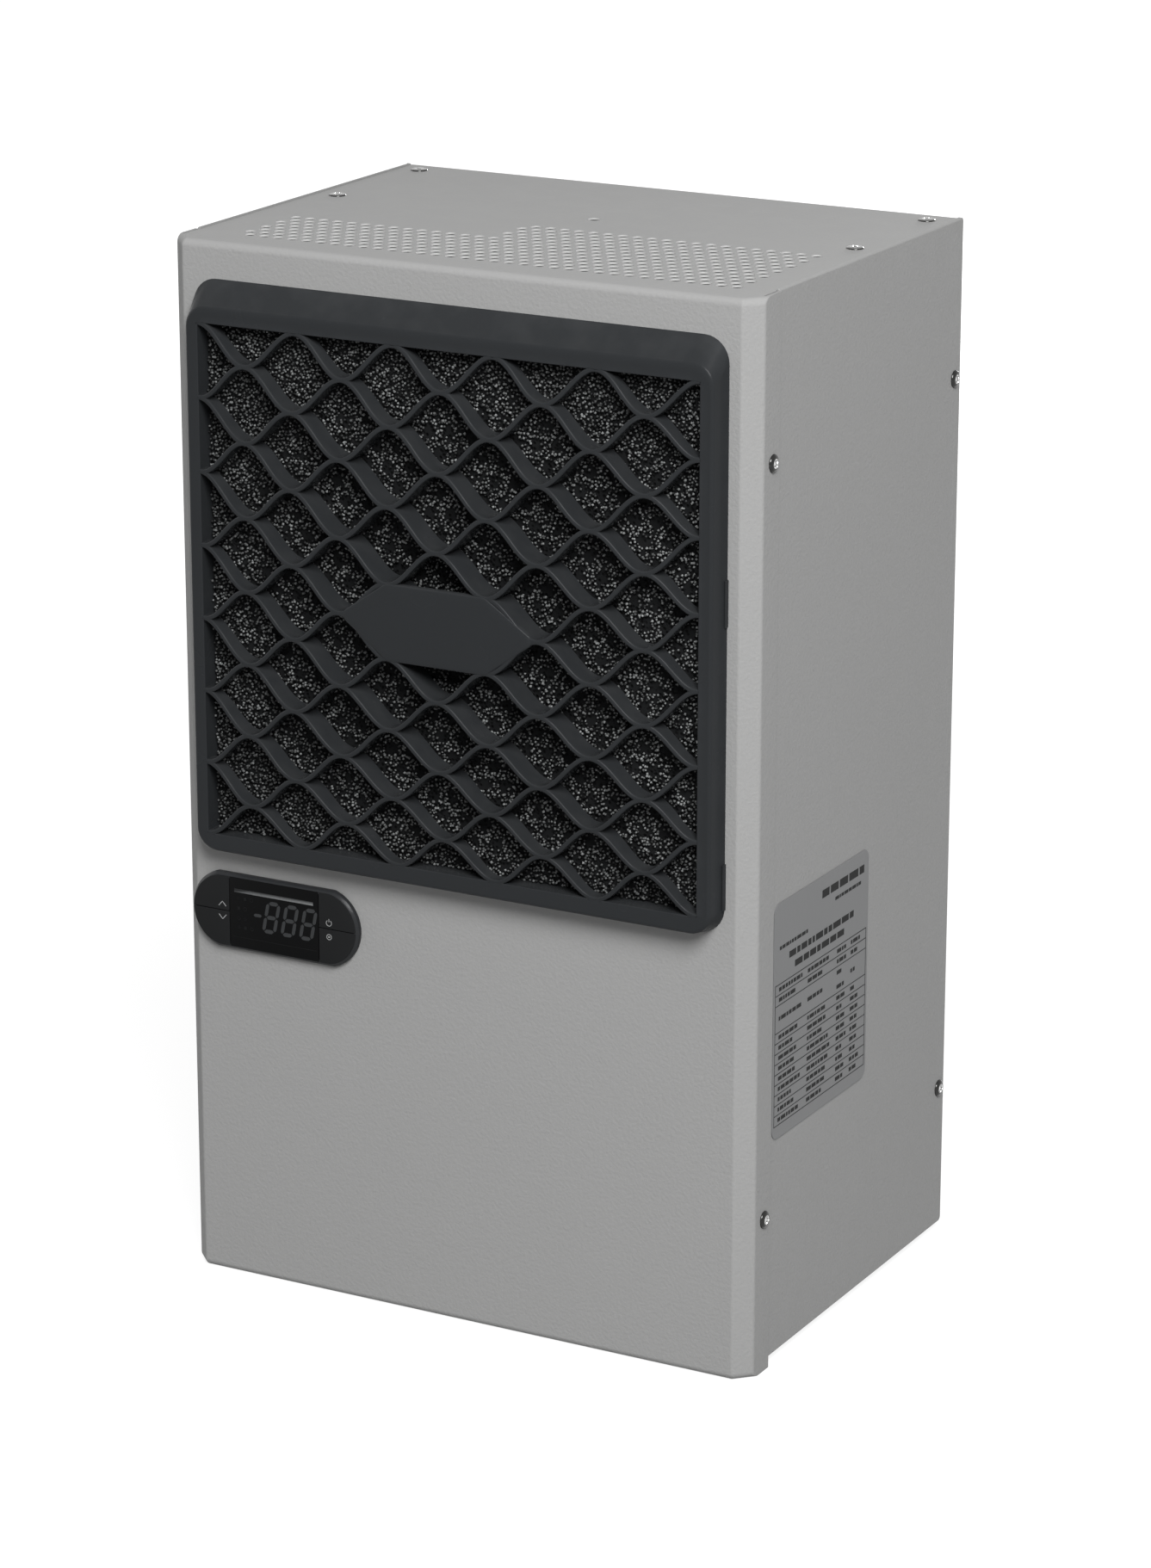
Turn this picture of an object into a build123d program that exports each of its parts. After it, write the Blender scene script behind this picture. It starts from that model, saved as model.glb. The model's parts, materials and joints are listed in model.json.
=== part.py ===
from build123d import *
import math
import os

os.makedirs("parts", exist_ok=True)

# Cabinet air conditioner: a painted sheet-steel case with a filter grille, a controller and
# a perforated top. X runs to the right, Y to the back and Z up, in millimetres.
# The front faces -Y, and the case stands on Z = 0.

# Case
CASE_WIDTH = 281.0
CASE_HEIGHT = 472.0
CASE_DEPTH = 200.0
SHEET = 1.5
CHAMFER = 7.0
FLANGE_DEPTH = 21.5
BEND_RADIUS = 4.0
SEAM_GAP = 0.3
SLIT_WIDTH = 0.6
SIDE_STEP = 1.0
SIDE_LIP_OVERLAP = 11.0
SIDE_BOTTOM = 4.3
SIDE_CORNER_RADIUS = 2.0
TOP_RECESS = 0.8
REAR_SILL_INSET = 6.0
PLENUM = 10.0

# Perforations of the top
PERF_PITCH = 7.05
PERF_DIAMETER = 4.9
PERF_HOLES = 34
PERF_FRONT_ROWS = 8
PERF_ROWS = 13
PERF_WIDE_START = 14
PERF_FIRST_Y = 20.8
PERF_SHIFT_X = 2.5

# Perforations of the front behind the filter
INTAKE_PITCH = 8.0
INTAKE_DIAMETER = 5.0
INTAKE_COLUMNS = 26
INTAKE_ROWS = 29
INTAKE_BORDER = 1.0

# Grille
GRILLE_DEPTH = 10.5
GRILLE_BASE_WIDTH = 256.0
GRILLE_BASE_BOTTOM = 201.2
GRILLE_BASE_TOP = 455.3
GRILLE_BASE_CORNER = 11.5
GRILLE_FACE_WIDTH = 252.0
GRILLE_FACE_BOTTOM = 203.2
GRILLE_FACE_TOP = 444.2
GRILLE_FACE_CORNER = 9.5
GRILLE_EDGE_ROUND = 1.4
OPENING_BOTTOM = 210.9
CELL_WIDTH = 24.0
CELL_HEIGHT = 32.43
CELL_COLUMNS = 10
CELL_ROWS = 7
CELL_STEPS = 8
LATTICE_SAG = 4.0
RIB_WIDTH = 2.2
RIM_WIDTH = 0.6
RIB_BACK = 4.6
DOME_RISE = 8.0
DOME_REACH = 5.0
BADGE_THICKNESS = 3.0
FOAM_CLEARANCE = 0.3
TAB_LENGTH = 20.0
TAB_HEIGHT = 2.4
TAB_PROUD = 0.5
TAB_LEVELS = (222.4, 344.4)

# Controller
PANEL_CENTRE_X = -91.5
PANEL_CENTRE_Z = 173.4
PANEL_WIDTH = 85.6
PANEL_HEIGHT = 34.8
PANEL_END_RISE = 13.0
PANEL_PROUD = 3.2
PANEL_BEVEL = 1.2
PANEL_POCKET = 1.6
PANEL_RIM = 1.0
PANEL_BOSS_WIDTH = 71.0
PANEL_BOSS_HEIGHT = 29.0
PANEL_BOSS_OVERLAP = 0.5
WINDOW_WIDTH = 44.6
WINDOW_PROUD = 0.2
KEY_GAP = 0.35
KEY_PROUD = 0.25
LIGHT_BAR_WIDTH = 40.5
LIGHT_BAR_HEIGHT = 1.6
LIGHT_BAR_OFFSET = 10.3
LIGHT_BAR_PROUD = 0.15

# Rating plate
PLATE_DEPTH_START = 22.9
PLATE_WIDTH = 92.0
PLATE_BOTTOM = 103.0
PLATE_HEIGHT = 106.0
PLATE_CORNER = 5.0
PLATE_THICKNESS = 0.4

# Screws
SCREW_HEAD_DIAMETER = 8.6
SCREW_HEAD_HEIGHT = 2.0
SCREW_RIM_ROUND = 0.9
SCREW_SLOT_WIDTH = 1.3
SCREW_SLOT_LENGTH = 5.0
SCREW_SLOT_DEPTH = 1.2
SCREW_SHANK_DIAMETER = 4.0
SCREW_CLEARANCE = 0.25
SCREW_SHANK_LENGTH = 6.0
SIDE_SCREW_LEVEL = 165.3
FLANGE_SCREW_DEPTH = 15.2
REAR_SCREW_DEPTH = 194.5
TOP_SCREW_X = 127.3
TOP_SCREW_DEPTHS = (117.0, 188.5)
LIFTING_HOLE_DIAMETER = 6.0
LIFTING_HOLE_DEPTH = 121.5

# Rear
REAR_SLOT_WIDTH = 5.0
REAR_SLOT_PITCH = 11.0
REAR_SLOT_LENGTH = 92.0
REAR_SLOT_OFFSET = 54.0
INLET_LEVEL = 345.0
INLET_SLOTS = 11
OUTLET_LEVEL = 75.0
OUTLET_SLOTS = 7
FIXING_SPACING_X = 248.0
FIXING_SPACING_Z = 400.0
FIXING_HOLE_DIAMETER = 6.6
GASKET_THICKNESS = 3.0
GASKET_WIDTH = 12.0
GASKET_INSET = 5.0
POWER_SOCKET_WIDTH = 52.0
POWER_SOCKET_HEIGHT = 16.0
SIGNAL_SOCKET_WIDTH = 22.0
SOCKET_LEVEL = 200.0
SOCKET_CENTRE_POWER_X = -30.0
SOCKET_CENTRE_SIGNAL_X = 40.0
SOCKET_PROUD = 2.4
SOCKET_SLOT_WIDTH = 4.0
SOCKET_SLOT_HEIGHT = 8.0
SOCKET_POLE_PITCH = 9.0
DRAIN_DIAMETER = 12.0
DRAIN_DEPTH = 150.0
DRAIN_CAP_MARGIN = 2.0
DRAIN_CAP_HEIGHT = 2.0
EARTH_STUD_X = 85.0
EARTH_STUD_RADIUS = 2.5
EARTH_NUT_RADIUS = 5.0
EARTH_NUT_HEIGHT = 1.6

# Reach of a cutting shape past the wall it cuts, and size of one with no limit on a side
CUT_MARGIN = 1.0
FAR = 300.0

# Levels and depths worked out from the sizes above
HALF_WIDTH = CASE_WIDTH / 2
SIDE_OUTER = HALF_WIDTH - SIDE_STEP
SIDE_INNER = SIDE_OUTER - SHEET
COVER_TOP = CASE_HEIGHT - TOP_RECESS
OPENING_WIDTH = CELL_WIDTH * CELL_COLUMNS
OPENING_HEIGHT = CELL_HEIGHT * CELL_ROWS
OPENING_TOP = OPENING_BOTTOM + OPENING_HEIGHT
OPENING_CENTRE = OPENING_BOTTOM + OPENING_HEIGHT / 2
DOME_PEAK = GRILLE_DEPTH + DOME_RISE
REAR_FACE = CASE_DEPTH
DEPTH_CENTRE = (REAR_FACE + GASKET_THICKNESS - DOME_PEAK) / 2
PANEL_HALF_WIDTH = PANEL_WIDTH / 2
PANEL_HALF_HEIGHT = PANEL_HEIGHT / 2
BASE_TOP = SIDE_BOTTOM + SHEET


def place(shape):
    """Moves a shape from depths counted off the case's front to the part's own frame."""
    return Pos(0, -DEPTH_CENTRE, 0) * shape


def save(shape, node):
    """Writes one piece, or several like pieces that don't touch, as one node."""
    placed = place(shape)
    placed.label = node
    export_step(placed, f"parts/{node}.step")


def block(x_low, x_high, y_low, y_high, z_low, z_high):
    """A box between two corners."""
    centre = Pos((x_low + x_high) / 2, (y_low + y_high) / 2, (z_low + z_high) / 2)
    return centre * Box(x_high - x_low, y_high - y_low, z_high - z_low)


def mirrored(shape):
    """The same piece on the other side of the case."""
    return mirror(shape, about=Plane.YZ)


def front_plane(depth):
    """A plane across the case's front: local X is right, local Y is up, normal to the front."""
    return Plane(origin=(0, depth, 0), x_dir=(1, 0, 0), z_dir=(0, -1, 0))


def front_wire(points, depth):
    """A closed polygon of (x, z) points at one depth."""
    return Wire.make_polygon([Vector(x, depth, z) for x, z in points], close=True)


def hole_ring_xy(x, y, z, diameter):
    """A hole's edge in a horizontal sheet."""
    return Wire.make_circle(diameter / 2, Plane(origin=(x, y, z)))


def hole_ring_xz(x, depth, z, diameter):
    """A hole's edge in an upright sheet that faces the front."""
    return Wire.make_circle(diameter / 2, Plane(origin=(x, depth, z), z_dir=(0, -1, 0)))


# Sheet-metal case

def cover_outline(inset, back):
    """The cover seen from above: flat front, two chamfers and two side flanges."""
    side = HALF_WIDTH - inset
    corner = inset * (2 - math.sqrt(2)) + CHAMFER - inset
    points = [
        (-side, back),
        (-side, inset + corner),
        (-side + corner, inset),
        (side - corner, inset),
        (side, inset + corner),
        (side, back),
    ]
    return make_face(Polyline(*points, close=True))


def cover_body(inset, back):
    """The cover's full volume, with its top and bottom front edges rounded."""
    height = COVER_TOP - 2 * inset
    body = extrude(Pos(0, 0, inset) * cover_outline(inset, back), amount=height)
    front_edges = [
        edge for edge in body.edges().filter_by(Axis.X)
        if abs(edge.center().Y - inset) < 0.01
    ]
    return fillet(front_edges, BEND_RADIUS - inset)


def intake_holes():
    """Centres of the perforations behind the filter, staggered row by row."""
    row_step = INTAKE_PITCH * math.sqrt(3) / 2
    centres = []
    for row in range(INTAKE_ROWS):
        z = OPENING_CENTRE + (row - (INTAKE_ROWS - 1) / 2) * row_step
        stagger = INTAKE_PITCH / 2 * (row % 2)
        for column in range(INTAKE_COLUMNS):
            x = (column - (INTAKE_COLUMNS - 0.5) / 2) * INTAKE_PITCH + stagger
            centres.append((x, z))
    return centres


def front_cover():
    """Front sheet with chamfered sides, side flanges, a bottom lip and the top's front bend."""
    shell = cover_body(0, FLANGE_DEPTH) - cover_body(SHEET, FLANGE_DEPTH + PLENUM)
    shell -= block(-HALF_WIDTH + SHEET, HALF_WIDTH - SHEET, BEND_RADIUS, FLANGE_DEPTH + CUT_MARGIN,
                   COVER_TOP - 2 * SHEET, COVER_TOP + CUT_MARGIN)
    shell -= block(PANEL_CENTRE_X - PANEL_BOSS_WIDTH / 2, PANEL_CENTRE_X + PANEL_BOSS_WIDTH / 2,
                   -CUT_MARGIN, SHEET + CUT_MARGIN,
                   PANEL_CENTRE_Z - PANEL_BOSS_HEIGHT / 2, PANEL_CENTRE_Z + PANEL_BOSS_HEIGHT / 2)
    window_x = OPENING_WIDTH / 2 - INTAKE_BORDER
    window_bottom = OPENING_BOTTOM + INTAKE_BORDER
    window_top = OPENING_TOP - INTAKE_BORDER
    shell -= block(-window_x, window_x, -CUT_MARGIN, SHEET + CUT_MARGIN, window_bottom, window_top)
    corners = [(-window_x, window_bottom), (window_x, window_bottom),
               (window_x, window_top), (-window_x, window_top)]
    rings = [hole_ring_xz(x, SHEET, z, INTAKE_DIAMETER) for x, z in intake_holes()]
    perforated = extrude(Face(front_wire(corners, SHEET), rings), amount=SHEET, dir=(0, -1, 0))
    shell += perforated
    for side in (-1, 1):
        for level in (-SIDE_SCREW_LEVEL, SIDE_SCREW_LEVEL):
            centre = Pos(side * HALF_WIDTH, FLANGE_SCREW_DEPTH, CASE_HEIGHT / 2 + level)
            hole = Cylinder(SCREW_SHANK_DIAMETER / 2 + SCREW_CLEARANCE, 4 * SHEET)
            shell -= centre * Rot(0, 90, 0) * hole
    return shell


def top_perforations():
    """Centres of the outlet holes: a long band in front, and a deeper field on the right."""
    row_step = PERF_PITCH * math.sqrt(3) / 2
    half_span = (PERF_HOLES - 0.5) * PERF_PITCH / 2
    centres = []
    for row in range(PERF_ROWS):
        y = PERF_FIRST_Y + row * row_step
        stagger = PERF_PITCH / 2 if row % 2 == 0 else 0
        first = 0 if row < PERF_FRONT_ROWS else PERF_WIDE_START
        for column in range(first, PERF_HOLES):
            x = PERF_SHIFT_X - half_span + column * PERF_PITCH + stagger
            centres.append((x, y))
    return centres


def top_screw_places():
    """Centres of the four screws in the top."""
    return [(side * TOP_SCREW_X, depth) for side in (-1, 1) for depth in TOP_SCREW_DEPTHS]


def top_cover():
    """Perforated top sheet between the side panels, with the hole for a lifting eye."""
    front_half = HALF_WIDTH - SHEET - SLIT_WIDTH
    rear_half = SIDE_INNER - SEAM_GAP
    inner_corner = SHEET * (2 - math.sqrt(2)) + CHAMFER
    front_y = BEND_RADIUS
    chamfer_half = HALF_WIDTH - SHEET - (inner_corner - front_y)
    outline = [
        (-rear_half, REAR_FACE), (-rear_half, FLANGE_DEPTH), (-front_half, FLANGE_DEPTH),
        (-front_half, inner_corner), (-chamfer_half, front_y), (chamfer_half, front_y),
        (front_half, inner_corner), (front_half, FLANGE_DEPTH), (rear_half, FLANGE_DEPTH),
        (rear_half, REAR_FACE),
    ]
    level = COVER_TOP - SHEET
    rim = Wire.make_polygon([Vector(x, y, level) for x, y in outline], close=True)
    rings = [hole_ring_xy(x, y, level, PERF_DIAMETER) for x, y in top_perforations()]
    shank = SCREW_SHANK_DIAMETER + 2 * SCREW_CLEARANCE
    rings += [hole_ring_xy(x, y, level, shank) for x, y in top_screw_places()]
    rings.append(hole_ring_xy(0, LIFTING_HOLE_DEPTH, level, LIFTING_HOLE_DIAMETER))
    return extrude(Face(rim, rings), amount=SHEET, dir=(0, 0, 1))


def side_panel():
    """Right side sheet, with a joggled front lip that runs behind the cover's flange."""
    sheet = block(SIDE_INNER, SIDE_OUTER, FLANGE_DEPTH + SEAM_GAP, REAR_FACE, SIDE_BOTTOM, CASE_HEIGHT)
    sheet = fillet(sheet.edges().filter_by(Axis.X).sort_by(Axis.Y)[-2:], SIDE_CORNER_RADIUS)
    lip_outer = HALF_WIDTH - SHEET
    lip = block(lip_outer - SHEET, lip_outer, FLANGE_DEPTH - SIDE_LIP_OVERLAP, FLANGE_DEPTH + 2,
                BASE_TOP, COVER_TOP - 2 * SHEET)
    panel = sheet + lip
    for depth in (FLANGE_SCREW_DEPTH, REAR_SCREW_DEPTH):
        for level in (-SIDE_SCREW_LEVEL, SIDE_SCREW_LEVEL):
            centre = Pos(SIDE_INNER, depth, CASE_HEIGHT / 2 + level)
            hole = Cylinder(SCREW_SHANK_DIAMETER / 2 + SCREW_CLEARANCE, 6 * SHEET)
            panel -= centre * Rot(0, 90, 0) * hole
    return panel


def base_panel():
    """Floor of the case, between the side panels, with a drain hole."""
    sheet = block(-SIDE_INNER, SIDE_INNER, FLANGE_DEPTH + 2 + SEAM_GAP, REAR_FACE - SHEET,
                  SIDE_BOTTOM, BASE_TOP)
    return sheet - Pos(0, DRAIN_DEPTH, SIDE_BOTTOM) * Cylinder(DRAIN_DIAMETER / 2, 4 * SHEET)


def rear_slots(level, count):
    """A field of air slots in the rear sheet, in two columns."""
    slots = []
    for row in range(count):
        z = level + (row - (count - 1) / 2) * REAR_SLOT_PITCH
        for side in (-1, 1):
            flat = Plane(origin=(side * REAR_SLOT_OFFSET, REAR_FACE + CUT_MARGIN, z),
                         x_dir=(1, 0, 0), z_dir=(0, -1, 0))
            slot = flat * SlotOverall(REAR_SLOT_LENGTH, REAR_SLOT_WIDTH)
            slots.append(extrude(slot, amount=SHEET + 2 * CUT_MARGIN))
    return slots


def fixing_places():
    """Centres of the four holes that fix the case to a cabinet."""
    return [(sx * FIXING_SPACING_X / 2, CASE_HEIGHT / 2 + sz * FIXING_SPACING_Z / 2)
            for sx in (-1, 1) for sz in (-1, 1)]


def rear_panel():
    """Rear sheet with the cabinet's air inlet and outlet slots, down to a sill on the floor."""
    sheet = block(-SIDE_INNER, SIDE_INNER, REAR_FACE - SHEET, REAR_FACE, SIDE_BOTTOM, COVER_TOP - SHEET)
    sill_half = SIDE_OUTER - REAR_SILL_INSET
    sheet += block(-sill_half, sill_half, REAR_FACE - SHEET, REAR_FACE, 0, BASE_TOP)
    for slot in rear_slots(INLET_LEVEL, INLET_SLOTS) + rear_slots(OUTLET_LEVEL, OUTLET_SLOTS):
        sheet -= slot
    for x, z in fixing_places():
        sheet -= Pos(x, REAR_FACE, z) * Rot(90, 0, 0) * Cylinder(FIXING_HOLE_DIAMETER / 2, 4 * SHEET)
    return sheet


def inner_block():
    """Closed block in place of the coils, the compressor and the insulated partition."""
    side = HALF_WIDTH - SCREW_SHANK_LENGTH - SCREW_CLEARANCE
    return block(-side, side, SHEET + PLENUM, REAR_FACE - SHEET - PLENUM,
                 BASE_TOP, COVER_TOP - SHEET - PLENUM)


# Grille and filter

def rounded_face(width, bottom, top, corner, depth):
    """A rectangle with rounded corners across the front."""
    centre = Pos(0, (bottom + top) / 2) * RectangleRounded(width, top - bottom, corner)
    return front_plane(depth) * centre


def grille_opening(depth_from, depth_to):
    """The opening that the lattice fills."""
    half = OPENING_WIDTH / 2
    return block(-half, half, depth_from, depth_to, OPENING_BOTTOM, OPENING_TOP)


def grille_frame():
    """Snap-on frame, steep at the sides and sloped like a hood at the top."""
    base = rounded_face(GRILLE_BASE_WIDTH, GRILLE_BASE_BOTTOM, GRILLE_BASE_TOP, GRILLE_BASE_CORNER, 0)
    face = rounded_face(GRILLE_FACE_WIDTH, GRILLE_FACE_BOTTOM, GRILLE_FACE_TOP, GRILLE_FACE_CORNER,
                        -GRILLE_DEPTH)
    body = loft([base, face], ruled=True)
    front_loop = body.faces().sort_by(Axis.Y)[0].edges()
    body = fillet(front_loop, GRILLE_EDGE_ROUND)
    return body - grille_opening(-GRILLE_DEPTH - CUT_MARGIN, CUT_MARGIN)


def rib_curve(u):
    """Height of a rib's middle above its cell's centre, u to the side of that centre."""
    return CELL_HEIGHT / 2 * math.cos(math.pi * u / (2 * CELL_WIDTH)) ** 2


def cell_edge(u):
    """Height of the cell's edge, half a rib's width inside the rib's middle."""
    slope = math.pi * CELL_HEIGHT / (4 * CELL_WIDTH) * math.sin(math.pi * u / CELL_WIDTH)
    return rib_curve(u) - RIB_WIDTH / 2 * math.sqrt(1 + slope * slope)


def cell_half_span():
    """How far the open cell reaches to each side, found by halving."""
    low, high = 0.0, CELL_WIDTH
    for _ in range(40):
        middle = (low + high) / 2
        if cell_edge(middle) > 0:
            low = middle
        else:
            high = middle
    return low


def sagged(x, z):
    """A point of the lattice, lowered towards the grille's centre."""
    across = max(math.cos(math.pi * x / OPENING_WIDTH), 0)
    up = max(math.cos(math.pi * (z - OPENING_CENTRE) / OPENING_HEIGHT), 0)
    return x, z - LATTICE_SAG * across * up


def cell_face(x, z):
    """One cell of the lattice: round above and below, pointed to the left and right."""
    span = cell_half_span()
    sides = [span * (step / CELL_STEPS - 1) for step in range(2 * CELL_STEPS + 1)]
    upper = [sagged(x + u, z + max(cell_edge(u), 0)) for u in sides]
    lower = [sagged(x + u, z - max(cell_edge(u), 0)) for u in reversed(sides[1:-1])]
    return Face(front_wire(upper + lower, 0))


def cell_places():
    """Centres of all cells, and of those that the opening's edge cuts in half."""
    places = []
    for column in range(CELL_COLUMNS + 1):
        x = (column - CELL_COLUMNS / 2) * CELL_WIDTH
        shift = 0.5 if column % 2 == 0 else 0
        for row in range(CELL_ROWS + (column % 2)):
            places.append((x, OPENING_TOP - (row + shift) * CELL_HEIGHT))
    return places


def badge_outline():
    """Six-sided plate between the nodes around the grille's centre."""
    top = OPENING_CENTRE + CELL_HEIGHT / 2
    bottom = OPENING_CENTRE - CELL_HEIGHT / 2
    corners = [(-2 * CELL_WIDTH, OPENING_CENTRE), (-CELL_WIDTH, top), (CELL_WIDTH, top),
               (2 * CELL_WIDTH, OPENING_CENTRE), (CELL_WIDTH, bottom), (-CELL_WIDTH, bottom)]
    return [sagged(x, z) for x, z in corners]


def dome():
    """Space behind the lattice's gently domed front."""
    half_width = OPENING_WIDTH / 2
    half_height = OPENING_HEIGHT / 2
    radius_across = (half_width ** 2 + DOME_RISE ** 2) / (2 * DOME_RISE)
    radius_up = (half_height ** 2 + DOME_RISE ** 2) / (2 * DOME_RISE)
    upright = Pos(0, radius_across - DOME_PEAK, OPENING_CENTRE) * Cylinder(radius_across, FAR)
    level = Pos(0, radius_up - DOME_PEAK, OPENING_CENTRE) * Rot(0, 90, 0) * Cylinder(radius_up, FAR)
    return upright & level


def lattice():
    """Ribs of the grille, in one piece, with the badge's place left out."""
    half = OPENING_WIDTH / 2
    corners = [(-half, OPENING_BOTTOM), (half, OPENING_BOTTOM), (half, OPENING_TOP), (-half, OPENING_TOP)]
    rim_x = half - RIM_WIDTH
    rim_bottom = OPENING_BOTTOM + RIM_WIDTH
    rim_top = OPENING_TOP - RIM_WIDTH
    rim_corners = [(-rim_x, rim_bottom), (rim_x, rim_bottom), (rim_x, rim_top), (-rim_x, rim_top)]
    window = Face(front_wire(rim_corners, 0))
    holes = []
    for x, z in cell_places():
        cell = cell_face(x, z)
        if abs(x) > rim_x or z < rim_bottom or z > rim_top:
            cell = (cell & window).faces()[0]
        holes.append(cell.outer_wire())
    sheet = Face(front_wire(corners, -RIB_BACK), [Pos(0, -RIB_BACK, 0) * hole for hole in holes])
    ribs = extrude(sheet, amount=DOME_PEAK + DOME_REACH, dir=(0, -1, 0))
    return ribs & dome()


def badge():
    """Bare plate on the ribs around the grille's centre."""
    outline = Face(front_wire(badge_outline(), -RIB_BACK))
    column = extrude(outline, amount=DOME_PEAK + DOME_REACH, dir=(0, -1, 0)) & dome()
    return column - Pos(0, BADGE_THICKNESS, 0) * column


def foam_filter():
    """Foam sheet behind the lattice."""
    half = OPENING_WIDTH / 2 - FOAM_CLEARANCE
    return block(-half, half, -RIB_BACK, 0, OPENING_BOTTOM + FOAM_CLEARANCE, OPENING_TOP - FOAM_CLEARANCE)


def grille_tabs(side):
    """Release tabs at the frame's foot on one side."""
    edge = side * GRILLE_BASE_WIDTH / 2
    tabs = []
    for level in TAB_LEVELS:
        low = min(edge, edge + side * TAB_PROUD)
        tabs.append(block(low, low + TAB_PROUD, -TAB_HEIGHT, 0,
                          level - TAB_LENGTH / 2, level + TAB_LENGTH / 2))
    return Compound(children=tabs)


# Controller

def oblong(inset, depth):
    """The controller's outline: straight above and below, arcs at both ends."""
    half_width = PANEL_HALF_WIDTH - inset
    half_height = PANEL_HALF_HEIGHT - inset
    shoulder = half_width - PANEL_END_RISE
    top_edge = Line((-shoulder, half_height), (shoulder, half_height))
    right_end = ThreePointArc((shoulder, half_height), (half_width, 0), (shoulder, -half_height))
    bottom_edge = Line((shoulder, -half_height), (-shoulder, -half_height))
    left_end = ThreePointArc((-shoulder, -half_height), (-half_width, 0), (-shoulder, half_height))
    outline = make_face(Curve() + [top_edge, right_end, bottom_edge, left_end])
    return front_plane(depth) * (Pos(PANEL_CENTRE_X, PANEL_CENTRE_Z) * outline)


def controller_housing():
    """Oblong rim with a bevelled edge, and the boss behind it in the case's cut-out."""
    straight = PANEL_PROUD - PANEL_BEVEL
    body = extrude(oblong(0, 0), amount=straight)
    body += loft([oblong(0, -straight), oblong(PANEL_BEVEL, -PANEL_PROUD)], ruled=True)
    pocket_mouth = oblong(PANEL_BEVEL + PANEL_RIM, -PANEL_PROUD - CUT_MARGIN)
    body -= extrude(pocket_mouth, amount=-(CUT_MARGIN + PANEL_POCKET))
    clearance = SEAM_GAP / 2
    body += block(PANEL_CENTRE_X - PANEL_BOSS_WIDTH / 2 + clearance,
                  PANEL_CENTRE_X + PANEL_BOSS_WIDTH / 2 - clearance,
                  -PANEL_BOSS_OVERLAP, SHEET + PLENUM,
                  PANEL_CENTRE_Z - PANEL_BOSS_HEIGHT / 2 + clearance,
                  PANEL_CENTRE_Z + PANEL_BOSS_HEIGHT / 2 - clearance)
    return body


def controller_insert(x_low, x_high, z_low, z_high, proud):
    """The part of the controller's pocket between four limits, as one plate."""
    gap = KEY_GAP / 2
    pocket = extrude(oblong(PANEL_BEVEL + PANEL_RIM + gap, -PANEL_PROUD + PANEL_POCKET),
                     amount=PANEL_POCKET + proud)
    limits = block(PANEL_CENTRE_X + x_low + gap, PANEL_CENTRE_X + x_high - gap, -FAR, 0,
                   PANEL_CENTRE_Z + z_low + gap, PANEL_CENTRE_Z + z_high - gap)
    return pocket & limits


def light_bar():
    """Status light across the top of the display."""
    front = -PANEL_PROUD - WINDOW_PROUD
    level = PANEL_CENTRE_Z + LIGHT_BAR_OFFSET
    return block(PANEL_CENTRE_X - LIGHT_BAR_WIDTH / 2, PANEL_CENTRE_X + LIGHT_BAR_WIDTH / 2,
                 front - LIGHT_BAR_PROUD, front,
                 level - LIGHT_BAR_HEIGHT / 2, level + LIGHT_BAR_HEIGHT / 2)


# Fixings and fittings

def screw():
    """Pan-head screw with a cross recess, head up, its seat at the origin."""
    head = Pos(0, 0, SCREW_HEAD_HEIGHT / 2) * Cylinder(SCREW_HEAD_DIAMETER / 2, SCREW_HEAD_HEIGHT)
    head = fillet(head.edges().sort_by(Axis.Z)[-1], SCREW_RIM_ROUND)
    slot_level = SCREW_HEAD_HEIGHT - SCREW_SLOT_DEPTH / 2
    for turn in (45, 135):
        slot = Box(SCREW_SLOT_LENGTH, SCREW_SLOT_WIDTH, SCREW_SLOT_DEPTH + 0.01)
        head -= Pos(0, 0, slot_level) * Rot(0, 0, turn) * slot
    shank = Pos(0, 0, -SCREW_SHANK_LENGTH / 2) * Cylinder(SCREW_SHANK_DIAMETER / 2, SCREW_SHANK_LENGTH)
    return head + shank


def side_screws(side, seat, depth):
    """Two screws on one side, above each other."""
    screws = []
    for level in (-SIDE_SCREW_LEVEL, SIDE_SCREW_LEVEL):
        place_at = Pos(side * seat, depth, CASE_HEIGHT / 2 + level) * Rot(0, side * 90, 0)
        screws.append(place_at * screw())
    return Compound(children=screws)


def top_screws():
    """Four screws in the top."""
    return Compound(children=[Pos(x, y, COVER_TOP) * screw() for x, y in top_screw_places()])


def rating_plate():
    """Bare plate on the right side panel."""
    plane = Plane(origin=(SIDE_OUTER, PLATE_DEPTH_START + PLATE_WIDTH / 2, PLATE_BOTTOM + PLATE_HEIGHT / 2),
                  x_dir=(0, 1, 0), z_dir=(1, 0, 0))
    return extrude(plane * RectangleRounded(PLATE_WIDTH, PLATE_HEIGHT, PLATE_CORNER), amount=PLATE_THICKNESS)


def gasket_strips():
    """Four sealing strips around the rear face."""
    half = SIDE_OUTER - GASKET_INSET
    low = SIDE_BOTTOM + GASKET_INSET
    high = COVER_TOP - GASKET_INSET
    back = REAR_FACE + GASKET_THICKNESS
    left = block(-half, -half + GASKET_WIDTH, REAR_FACE, back, low, high)
    inner = half - GASKET_WIDTH - SEAM_GAP
    bottom = block(-inner, inner, REAR_FACE, back, low, low + GASKET_WIDTH)
    top = block(-inner, inner, REAR_FACE, back, high - GASKET_WIDTH, high)
    return Compound(children=[left, mirrored(left), bottom, top])


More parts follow.
